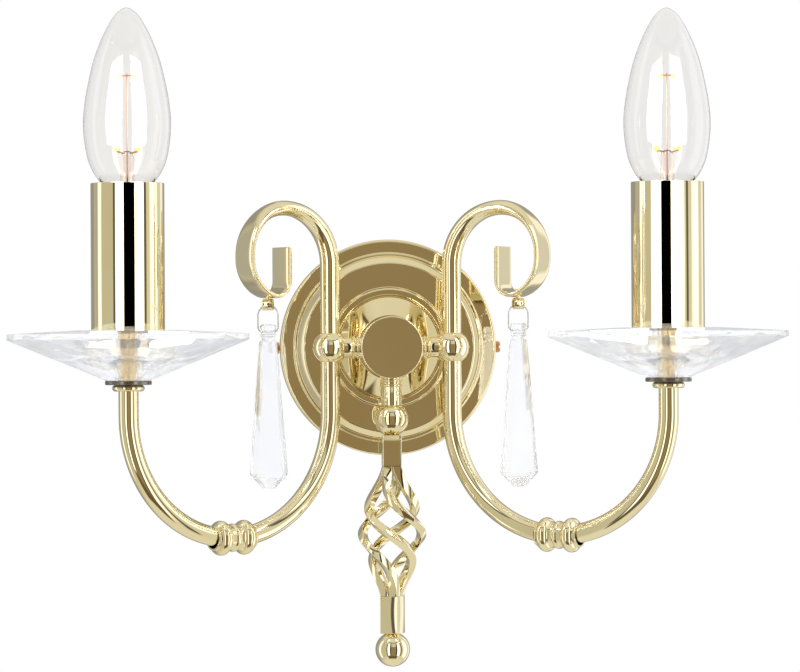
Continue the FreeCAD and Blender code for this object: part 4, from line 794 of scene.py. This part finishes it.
def rod_middle(index, share):
    """Middle line of a rod and its angle round the axis."""
    turn = share - math.sin(2 * math.pi * share) / (4 * math.pi)
    angle = math.radians(45 + 90 * index + BASKET_TWIST * turn)
    radius = rod_start + rod_swell * math.sin(math.pi * share) ** SWELL_POWER
    height = BASKET_TOP + (BASKET_FOOT - BASKET_TOP) * share
    return Vector((radius * math.cos(angle), radius * math.sin(angle), height)), angle


rods = []
for index in range(4):
    rings = []
    for step in range(ROD_STEPS + 1):
        share = step / ROD_STEPS
        point, angle = rod_middle(index, share)
        before = rod_middle(index, max(0.0, share - ROD_GLANCE))[0]
        after = rod_middle(index, min(1.0, share + ROD_GLANCE))[0]
        tangent = (after - before).normalized() if 0 < step < ROD_STEPS else -Z_UNIT
        outward = Vector((math.cos(angle), math.sin(angle), 0))
        outward = (outward - tangent * outward.dot(tangent)).normalized()
        sideways = tangent.cross(outward)
        first = (outward + sideways).normalized()
        second = (outward - sideways).normalized()
        half = (ROD_SIDE - ROD_WAIST * math.sin(math.pi * share)) / 2
        rings.append(square_ring(point + Y_UNIT * ROOT_Y, first, second, half, ROD_CORNER))
    rods.append(pushed(rings))
in_brass(merged(*rods), "pendant_basket_twisted", "pendant_basket", ROD_SHARP)

# %% [markdown]
# ## Under each candle
#
# The arm ends in a turned collar. A dull washer sits on it and carries the crystal pan.
# The pan is thick, nearly flat on top and a faceted cone below.

# %% Collar and washer
SEAT_BORE, COLLAR_TOP, COLLAR_FOOT = 4.1, -14.5, -17.1
COLLAR_MIDDLE, COLLAR_CENTRE, COLLAR_ROUND = -15.8, 5.2, 1.3
WASHER_RADIUS, WASHER_TOP, WASHER_EDGE = 9.3, -12.7, 0.45
CANDLE_PLACE = ARM_PLACE @ placed(CANDLE_U, 0, 0) @ turned(ARM_ANGLE, "Z")
collar_outline = [(SEAT_BORE, COLLAR_FOOT)]
collar_outline += arc_points((COLLAR_CENTRE, COLLAR_MIDDLE), COLLAR_ROUND, -90, 90, 14)
collar_outline.append((SEAT_BORE, COLLAR_TOP))
collar = moved(spun(collar_outline, closed=True), CANDLE_PLACE)
brass_pair(collar, "arm_collar_turned", "arm_collar")
washer_outline = rounded([(SEAT_BORE, COLLAR_TOP), (WASHER_RADIUS, COLLAR_TOP),
                          (WASHER_RADIUS, WASHER_TOP), (SEAT_BORE, WASHER_TOP)],
                         [WASHER_EDGE, WASHER_EDGE])
both_sides(moved(spun(washer_outline, closed=True), CANDLE_PLACE), "pan_washer_pressed", washer_steel,
           "frame", ["pan_washer"])

# %% [markdown]
# The candle is a plain tube, polished to a mirror. A straight wall shows any wobble, so
# it has more steps round than the rest, and its cut ends are eased by a fifth of a
# millimetre, outside on the corner and inside as a short slope.

# %% Candle tubes
CANDLE_RADIUS, CANDLE_BORE, CANDLE_TOP, CANDLE_FOOT = 14.7, 13.9, 65.8, 7.3
CANDLE_EDGE, CANDLE_STEPS = 0.2, 128
tube_outline = rounded([(CANDLE_BORE, CANDLE_TOP), (CANDLE_RADIUS, CANDLE_TOP),
                        (CANDLE_RADIUS, CANDLE_FOOT), (CANDLE_BORE, CANDLE_FOOT)],
                       [CANDLE_EDGE, CANDLE_EDGE])
tube_outline[0] = (CANDLE_BORE, CANDLE_TOP - CANDLE_EDGE)
tube_outline[-1] = (CANDLE_BORE, CANDLE_FOOT + CANDLE_EDGE / 2)
candle_tube = spun(tube_outline, steps=CANDLE_STEPS, closed=True)
both_sides(moved(candle_tube, CANDLE_PLACE), "candle_tube_polished", polished_brass,
           "{side}_candle", ["candle_tube"])

# %% [markdown]
# The pans and drops are ground with flat cuts whose corners meet in exact points. The CAD
# mesh already has those cuts, so a merged copy of it is used, each edge eased by a hair
# as the polishing wheel leaves it, and every cut shaded flat. Ring and eyelet are copies
# too.

# %% Crystal pans and drops
CUT_EDGE, CUT_SHARP, EYELET_EDGE = 0.12, 8, 0.25
for side in SIDES:
    dressed(f"{side}_drip_pan", cut_crystal, CUT_EDGE, CUT_SHARP)
    dressed(f"{side}_crystal_drop", drop_crystal, CUT_EDGE, CUT_SHARP)
    dressed(f"{side}_drop_ring", ring_wire)
    dressed(f"{side}_drop_eyelet", polished_brass, EYELET_EDGE)

# %% [markdown]
# ## Lamps
#
# A clear candle lamp: a blown envelope that widens from its neck and closes in a blunt
# tip, a pressed glass stem, four glowing rods on fine wires and a nickel screw shell. A
# smooth curve through a few widths gives the blown shape. The envelope is a thin wall,
# one closed surface from its inner tip round the neck to its outer tip, because glass
# filled to the middle would act as a lens and turn the filaments upside down.

# %% Lamp envelope
CAP_TOP, LAMP_TIP, LAMP_RADIUS, NECK, WALL = 61.6, 135.8, 17.5, 7.4, 0.8
WIDEST = CAP_TOP + 0.355 * (LAMP_TIP - CAP_TOP)
# Share of the height, and of the full width there: neck to widest, then widest to tip.
BELOW = ((0.14, 0.58), (0.33, 0.78), (0.58, 0.92))
ABOVE = ((0.0, 1.0), (0.20, 0.965), (0.40, 0.865), (0.58, 0.74), (0.75, 0.56), (0.88, 0.375),
         (0.96, 0.21))
lamp_points = [(NECK, CAP_TOP)]
for share, width in BELOW:
    lamp_points.append((width * LAMP_RADIUS, CAP_TOP + share * (WIDEST - CAP_TOP)))
for share, width in ABOVE:
    lamp_points.append((width * LAMP_RADIUS, WIDEST + share * (LAMP_TIP - WIDEST)))
lamp_points.append((0.0, LAMP_TIP))


def smooth_line(points, steps=6):
    """A smooth curve through the points, flat across the axis at its last one."""
    mirror_end = (-points[-2][0], points[-2][1])
    line = [points[0]] + list(points) + [mirror_end]
    result = []
    for a, b, c, d in zip(line, line[1:], line[2:], line[3:]):
        for i in range(steps):
            t = i / steps
            result.append(tuple(
                0.5 * (2 * b[k] + (c[k] - a[k]) * t + (2 * a[k] - 5 * b[k] + 4 * c[k] - d[k]) * t * t
                       + (3 * b[k] - a[k] - 3 * c[k] + d[k]) * t ** 3)
                for k in (0, 1)))
    result.append(points[-1])
    return result


def inset_line(points, distance):
    """The same line moved towards the axis by a distance."""
    result = []
    for i, (x, z) in enumerate(points):
        a, b = points[max(0, i - 1)], points[min(len(points) - 1, i + 1)]
        dx, dz = b[0] - a[0], b[1] - a[1]
        length = math.hypot(dx, dz) or 1.0
        result.append((max(0.0, x - distance * dz / length), z + distance * dx / length))
    result[-1] = (0.0, points[-1][1] - distance)
    return result


envelope = smooth_line(lamp_points)
inside = inset_line(envelope, WALL)
inside[0] = (NECK - WALL, CAP_TOP)
lamp_shell = spun(inside[::-1] + [(min(x, LAMP_RADIUS), z) for x, z in envelope])
both_sides(moved(lamp_shell, CANDLE_PLACE), "lamp_envelope", blown_glass, "{side}_lamp",
           ["lamp_glass"], sharp=60)

# %% Lamp insides
STEM_TOP = CAP_TOP + 17.0
GLOW_LENGTH, GLOW_CIRCLE, GLOW_LEAN, GLOW_RADIUS = 30.0, 6.0, 2.0, 0.85
WIRE_RADIUS, WIRE_ROOT, POST_RADIUS = 0.28, 1.2, 0.22
# How the end of a wire or rod is eased: shares of its radius, along and across.
ROUND_END = ((0.0, 0.55), (0.35, 0.9), (0.8, 1.0))
glow_top = STEM_TOP + GLOW_LENGTH
glow = glowing("lit_filament", STEM_TOP * MM, glow_top * MM)
stem_outline = rounded([(0.0, CAP_TOP), (5.8, CAP_TOP), (5.6, CAP_TOP + 1.2), (2.9, CAP_TOP + 4.5),
                        (2.6, STEM_TOP - 1.5), (1.4, STEM_TOP), (0.0, STEM_TOP)],
                       [0.2, 0.4, 1.5, 0.6, 0.4])
both_sides(moved(spun(stem_outline, steps=48), CANDLE_PLACE), "lamp_stem_pressed", stem_glass,
           "{side}_lamp", ["lamp_filaments"])


def rod_between(start, stop, radius, count=12):
    """Straight round bar between two points, with eased ends."""
    axis = (stop - start).normalized()
    first = axis.orthogonal().normalized()
    second = axis.cross(first)
    stations = [(start + axis * radius * a, b) for a, b in ROUND_END]
    stations += [(stop - axis * radius * a, b) for a, b in reversed(ROUND_END)]
    return pushed([round_ring(centre, first, second, radius * share, count)
                   for centre, share in stations])


strips, wires = [], []
for index in range(4):
    turn = Matrix.Rotation(math.radians(90 * (index + 0.5)), 3, "Z")
    foot = turn @ Vector((GLOW_CIRCLE, 0, STEM_TOP))
    top = turn @ Vector((GLOW_CIRCLE - GLOW_LEAN, 0, glow_top))
    strips.append(rod_between(foot, top, GLOW_RADIUS))
    wires.append(rod_between(turn @ Vector((WIRE_ROOT, 0, STEM_TOP - 1)), foot, WIRE_RADIUS, 8))
    wires.append(rod_between(top, Z_UNIT * glow_top, WIRE_RADIUS, 8))
wires.append(rod_between(Z_UNIT * (CAP_TOP + 1), Z_UNIT * (glow_top + 1), POST_RADIUS, 10))
both_sides(moved(merged(*strips), CANDLE_PLACE), "lamp_filament_strips", glow, "{side}_lamp",
           ["lamp_filaments"])
both_sides(moved(merged(*wires), CANDLE_PLACE), "lamp_carrier_wires", carrier_wire, "{side}_lamp",
           ["lamp_filaments"])

# %% [markdown]
# ## Pieces that keep their CAD shape
#
# What sits behind the plate or inside the candle keeps the CAD mesh and only takes its
# finish.

# %% Finishes on the CAD nodes
KEPT = {
    "wall_bracket": zinc_steel, "side_screws": copper_plate, "terminal_block": white_plastic,
    "terminal_screws": zinc_steel, "earth_screw": contact_brass, "hub_nipple": zinc_steel,
    "hub_locknut": zinc_steel,
}
for side in SIDES:
    KEPT.update({
        f"{side}_pan_spigot": contact_brass, f"{side}_pan_nut": zinc_steel,
        f"{side}_lampholder": holder_plastic, f"{side}_holder_contact": contact_brass,
        f"{side}_lamp_cap": nickel_shell, f"{side}_lamp_lead": lead_sleeve,
    })
for node, material in KEPT.items():
    mesh = frame["nodes"][node].data
    mesh.materials.clear()
    mesh.materials.append(material)
left_plain = [n for n, o in frame["nodes"].items() if not o.hide_render and n not in KEPT]
print("CAD nodes kept:", len(KEPT), "without a finish:", left_plain)

# %% [markdown]
# ## Studio
#
# Polished metal is lit by what it mirrors, and lamps alone would leave it black with a few
# bright dots. So the world is a room, painted by bearing and height from the sconce: pale
# walls, bright strips, dark gaps between them and one dark line above, which draw the
# crisp stripes, and a warm brown straight ahead. Only mirrored rays see it in full. Other
# light is plain and soft, glass shows mostly white, and the camera sees white.

# %% Room
world = bpy.data.worlds.new("studio")
bpy.context.scene.world = world
world.use_nodes = True
room = world.node_tree
room.nodes.clear()
direction = add_node(room, "TexCoord").outputs["Generated"]
split = add_node(room, "SeparateXYZ", links={"Vector": direction})
backwards = add_node(room, "Math", values={1: -1.0}, links={0: split.outputs["Y"]},
                     operation="MULTIPLY")
bearing = add_node(room, "Math", links={0: split.outputs["X"], 1: backwards.outputs[0]},
                   operation="ARCTAN2").outputs[0]
height = add_node(room, "Math", links={0: split.outputs["Z"]}, operation="ARCSINE").outputs[0]


def both(first, second):
    """Product of two masks."""
    return add_node(room, "Math", links={0: first, 1: second}, operation="MULTIPLY").outputs[0]


def between(value, low, high, soft):
    """1 between two angles in degrees, 0 outside them, fading over soft either side."""
    above = spread(room, value, 0.0, 1.0, math.radians(low - soft), math.radians(low + soft))
    below = spread(room, value, 1.0, 0.0, math.radians(high - soft), math.radians(high + soft))
    return both(above, below)


def over(mask, colour, under):
    """Colour laid over what is there by a mask."""
    mix = add_node(room, "Mix", links={"Factor": mask, 6: under}, data_type="RGBA",
                   clamp_result=False)
    mix.inputs[7].default_value = (*colour, 1.0)
    return mix.outputs[2]


# Lowest and highest height of the walls' strips, in degrees.
BAND_LOW, BAND_HIGH = -38, 42
# Each strip: bearing from and to, fade, and brightness. 0 is ahead, right is positive.
STRIPS = (
    (-181, -128, 6, 0.36), (142, 181, 6, 0.4), (-122, -108, 3, 0.5), (-105, -91, 3, 1.7),
    (76, 104, 5, 1.9), (110, 123, 3, 0.78), (124, 140, 2, 1.15),
    (-46, -39, 1, 0.12), (-38, -23, 2, 1.8), (-22, -14, 1, 0.03), (19, 28, 1, 0.03),
    (29, 46, 2, 1.9), (53, 61, 1, 0.14),
)
CREAM = (0.86, 0.84, 0.74)
# Each patch: bearing from, to and fade, height from, to and fade, and colour.
PATCHES = (
    ("dark line above", (-70, 70, 3), (43, 48, 1), (0.16, 0.16, 0.16)),
    ("dark floor ahead", (-42, 34, 2), (-60, -37, 2), (0.16, 0.12, 0.07)),
    ("warm brown ahead", (-14, 19, 1), (-40, 19, 2), (0.324, 0.25, 0.142)),
)
side_walls = add_node(room, "Mix", links={"Factor": spread(room, bearing, 0.0, 1.0, -0.4, 0.4)},
                      data_type="RGBA")
side_walls.inputs[6].default_value = (0.63, 0.61, 0.5, 1.0)
side_walls.inputs[7].default_value = (0.8, 0.78, 0.66, 1.0)
room_colour = side_walls.outputs[2]
level = between(height, BAND_LOW, BAND_HIGH, 4)
for low, high, soft, brightness in STRIPS:
    room_colour = over(both(between(bearing, low, high, soft), level), (brightness,) * 3, room_colour)
for low, high in ((BAND_HIGH + 6, 100), (-100, BAND_LOW - 10)):
    room_colour = over(between(height, low, high, 12), CREAM, room_colour)
for title, across, upwards, colour in PATCHES:
    room_colour = over(both(between(bearing, *across), between(height, *upwards)), colour, room_colour)
    print("patch:", title)

# %% What each kind of light sees
WHITE = (1.0, 1.0, 1.0, 1.0)
SOFT_STRENGTH, ROOM_IN_GLASS = 0.9, 0.15
path = add_node(room, "LightPath")
mirror_room = add_node(room, "Background", links={"Color": room_colour})
soft_room = add_node(room, "Background", values={"Color": WHITE, "Strength": SOFT_STRENGTH})
clear_colour = add_node(room, "Mix", values={"Factor": ROOM_IN_GLASS}, links={7: room_colour},
                        data_type="RGBA")
clear_colour.inputs[6].default_value = WHITE
clear_room = add_node(room, "Background", links={"Color": clear_colour.outputs[2]})
white_room = add_node(room, "Background", values={"Color": WHITE, "Strength": 1.0})
light = soft_room.outputs[0]
for ray, look in (("Is Glossy Ray", mirror_room), ("Is Transmission Ray", clear_room),
                  ("Is Camera Ray", white_room)):
    light = add_node(room, "MixShader",
                     links={0: path.outputs[ray], 1: light, 2: look.outputs[0]}).outputs[0]
add_node(room, "OutputWorld", links={"Surface": light})
print("room nodes:", len(room.nodes))

# %% [markdown]
# ## Cards
#
# For a crisp black line between two white ones on a polished tube, a studio stands narrow
# cards close to it. Each candle tube gets a white, a black and a white card side by side,
# and each lamp two bright ones, which its glass mirrors as two faint bars. They are
# staging, seen only by mirrored rays. A card's edges are given as the tilts of the tube's
# wall at which they show, and worked back to where the card stands.

# %% Cards
CARD_DEPTH = 27.0
TUBE_CARD_HEIGHTS, LAMP_CARD_HEIGHTS = (1, 72), (76, 128)
TUBE_CARD_LIGHT, LAMP_CARD_LIGHT = 2.6, 9.0
# For each side, the line of view's bearing and the tilts between the cards, in degrees.
CARD_TILTS = {
    "right": (-7.7, (-26.5, -10.1, 5.4, 19.7), (-27, -9), (6, 26)),
    "left": (0.5, (-18.9, -6.2, 10.9, 25.6), (-28, -8), (7, 26)),
}


def mirrored_at(view, tilt):
    """Where a card before a tube stands, to be mirrored at a tilt from the line of view."""
    normal, away = math.radians(view + tilt), math.radians(view + 2 * tilt)
    gap = CARD_DEPTH - CANDLE_RADIUS * math.cos(normal)
    return CANDLE_RADIUS * math.sin(normal) + gap * math.tan(away)


def staged(bm, name, material):
    """Turn a bmesh into staging, which is no part of the sconce."""
    mesh = bpy.data.meshes.new(name)
    bm.to_mesh(mesh)
    bm.free()
    mesh.materials.append(material)
    stand = bpy.data.objects.new(name, mesh)
    bpy.context.scene.collection.objects.link(stand)
    return stand


def stand_card(name, edges, heights, strength):
    """An upright glowing card before a candle, seen only in reflections."""
    foot, top = heights
    start, stop = edges
    bm = bmesh.new()
    bmesh.ops.create_grid(bm, x_segments=1, y_segments=1, size=0.5)
    bmesh.ops.scale(bm, vec=((stop - start) * MM, (top - foot) * MM, 1), verts=bm.verts)
    bmesh.ops.rotate(bm, matrix=Matrix.Rotation(math.radians(90), 3, "X"), verts=bm.verts)
    middle = ((start + stop) / 2 * MM, (candle_axis.y - CARD_DEPTH) * MM, (foot + top) / 2 * MM)
    bmesh.ops.translate(bm, vec=middle, verts=bm.verts)
    look, tree = new_material(name)
    card = staged(bm, name, shown(look, add_node(tree, "Emission", values={"Strength": strength})))
    card.visible_camera = card.visible_diffuse = card.visible_transmission = False
    card.visible_shadow = card.visible_volume_scatter = False


candle_axis = CANDLE_PLACE.translation / MM
for side, (view, tube_tilts, outer_tilts, inner_tilts) in CARD_TILTS.items():
    cards = [("outer", tube_tilts[0:2], TUBE_CARD_HEIGHTS, TUBE_CARD_LIGHT),
             ("dark", tube_tilts[1:3], TUBE_CARD_HEIGHTS, 0.0),
             ("inner", tube_tilts[2:4], TUBE_CARD_HEIGHTS, TUBE_CARD_LIGHT),
             ("upper_outer", outer_tilts, LAMP_CARD_HEIGHTS, LAMP_CARD_LIGHT),
             ("upper_inner", inner_tilts, LAMP_CARD_HEIGHTS, LAMP_CARD_LIGHT)]
    for part, tilts, heights, strength in cards:
        edges = [SIDES[side] * candle_axis.x + mirrored_at(view, tilt) for tilt in tilts]
        stand_card(f"card_{side}_{part}", edges, heights, strength)
    print(side, "cards:", len(cards))

# %% [markdown]
# ## Floor
#
# A wide pale floor lies well under the sconce. The camera sees it as plain white, so that
# it joins the background, and mirrors and glass don't see it at all.

# %% Floor
FLOOR_HALF, FLOOR_Z = 6.0, -1.2
bm = bmesh.new()
bmesh.ops.create_grid(bm, x_segments=1, y_segments=1, size=FLOOR_HALF)
bmesh.ops.translate(bm, vec=(0, 0, FLOOR_Z), verts=bm.verts)
floor_look, floor_tree = new_material("pale_floor")
floor_paint = add_node(floor_tree, "BsdfDiffuse", values={"Color": seen_colour("#F4F3F0")})
floor_white = add_node(floor_tree, "Emission", values={"Strength": 1.0})
floor_path = add_node(floor_tree, "LightPath")
floor_mix = add_node(floor_tree, "MixShader", links={
    0: floor_path.outputs["Is Camera Ray"], 1: floor_paint.outputs[0], 2: floor_white.outputs[0]})
floor = staged(bm, "floor", shown(floor_look, floor_mix))
floor.visible_glossy = floor.visible_transmission = False
print("floor at", FLOOR_Z, "metres")

# %% [markdown]
# ## Camera
#
# The camera stands a little over a metre and a half from the wall, slightly to the left,
# and looks nearly level. A long lens from there keeps the two arms the same size, as in
# the picture. Its focal length is written in pixels, the unit it is measured in.

# %% Camera
PICTURE_WIDTH, FOCAL_PIXELS, SENSOR = 800, 3758.4, 36.0
CAMERA_PLACE = (-0.09452, -1.586, -0.00208)
YAW, PITCH, ROLL = 3.614, 0.248, -0.324
camera_data = bpy.data.cameras.new("camera")
camera_data.sensor_width = SENSOR
camera_data.lens = FOCAL_PIXELS / PICTURE_WIDTH * SENSOR
camera = bpy.data.objects.new("camera", camera_data)
bpy.context.scene.collection.objects.link(camera)
yaw, pitch, roll = (math.radians(angle) for angle in (YAW, PITCH, ROLL))
level_forward = Vector((math.sin(yaw), math.cos(yaw), 0))
forward = level_forward * math.cos(pitch) + Z_UNIT * math.sin(pitch)
level_right = Vector((math.cos(yaw), -math.sin(yaw), 0))
level_up = level_right.cross(forward)
right = level_right * math.cos(roll) + level_up * math.sin(roll)
up = level_up * math.cos(roll) - level_right * math.sin(roll)
facing = Matrix((right, up, -forward)).transposed().to_4x4()
camera.matrix_world = Matrix.Translation(CAMERA_PLACE) @ facing
bpy.context.scene.camera = camera
bpy.context.scene.view_settings.view_transform = "Standard"
print("camera lens", round(camera_data.lens, 1), "mm")
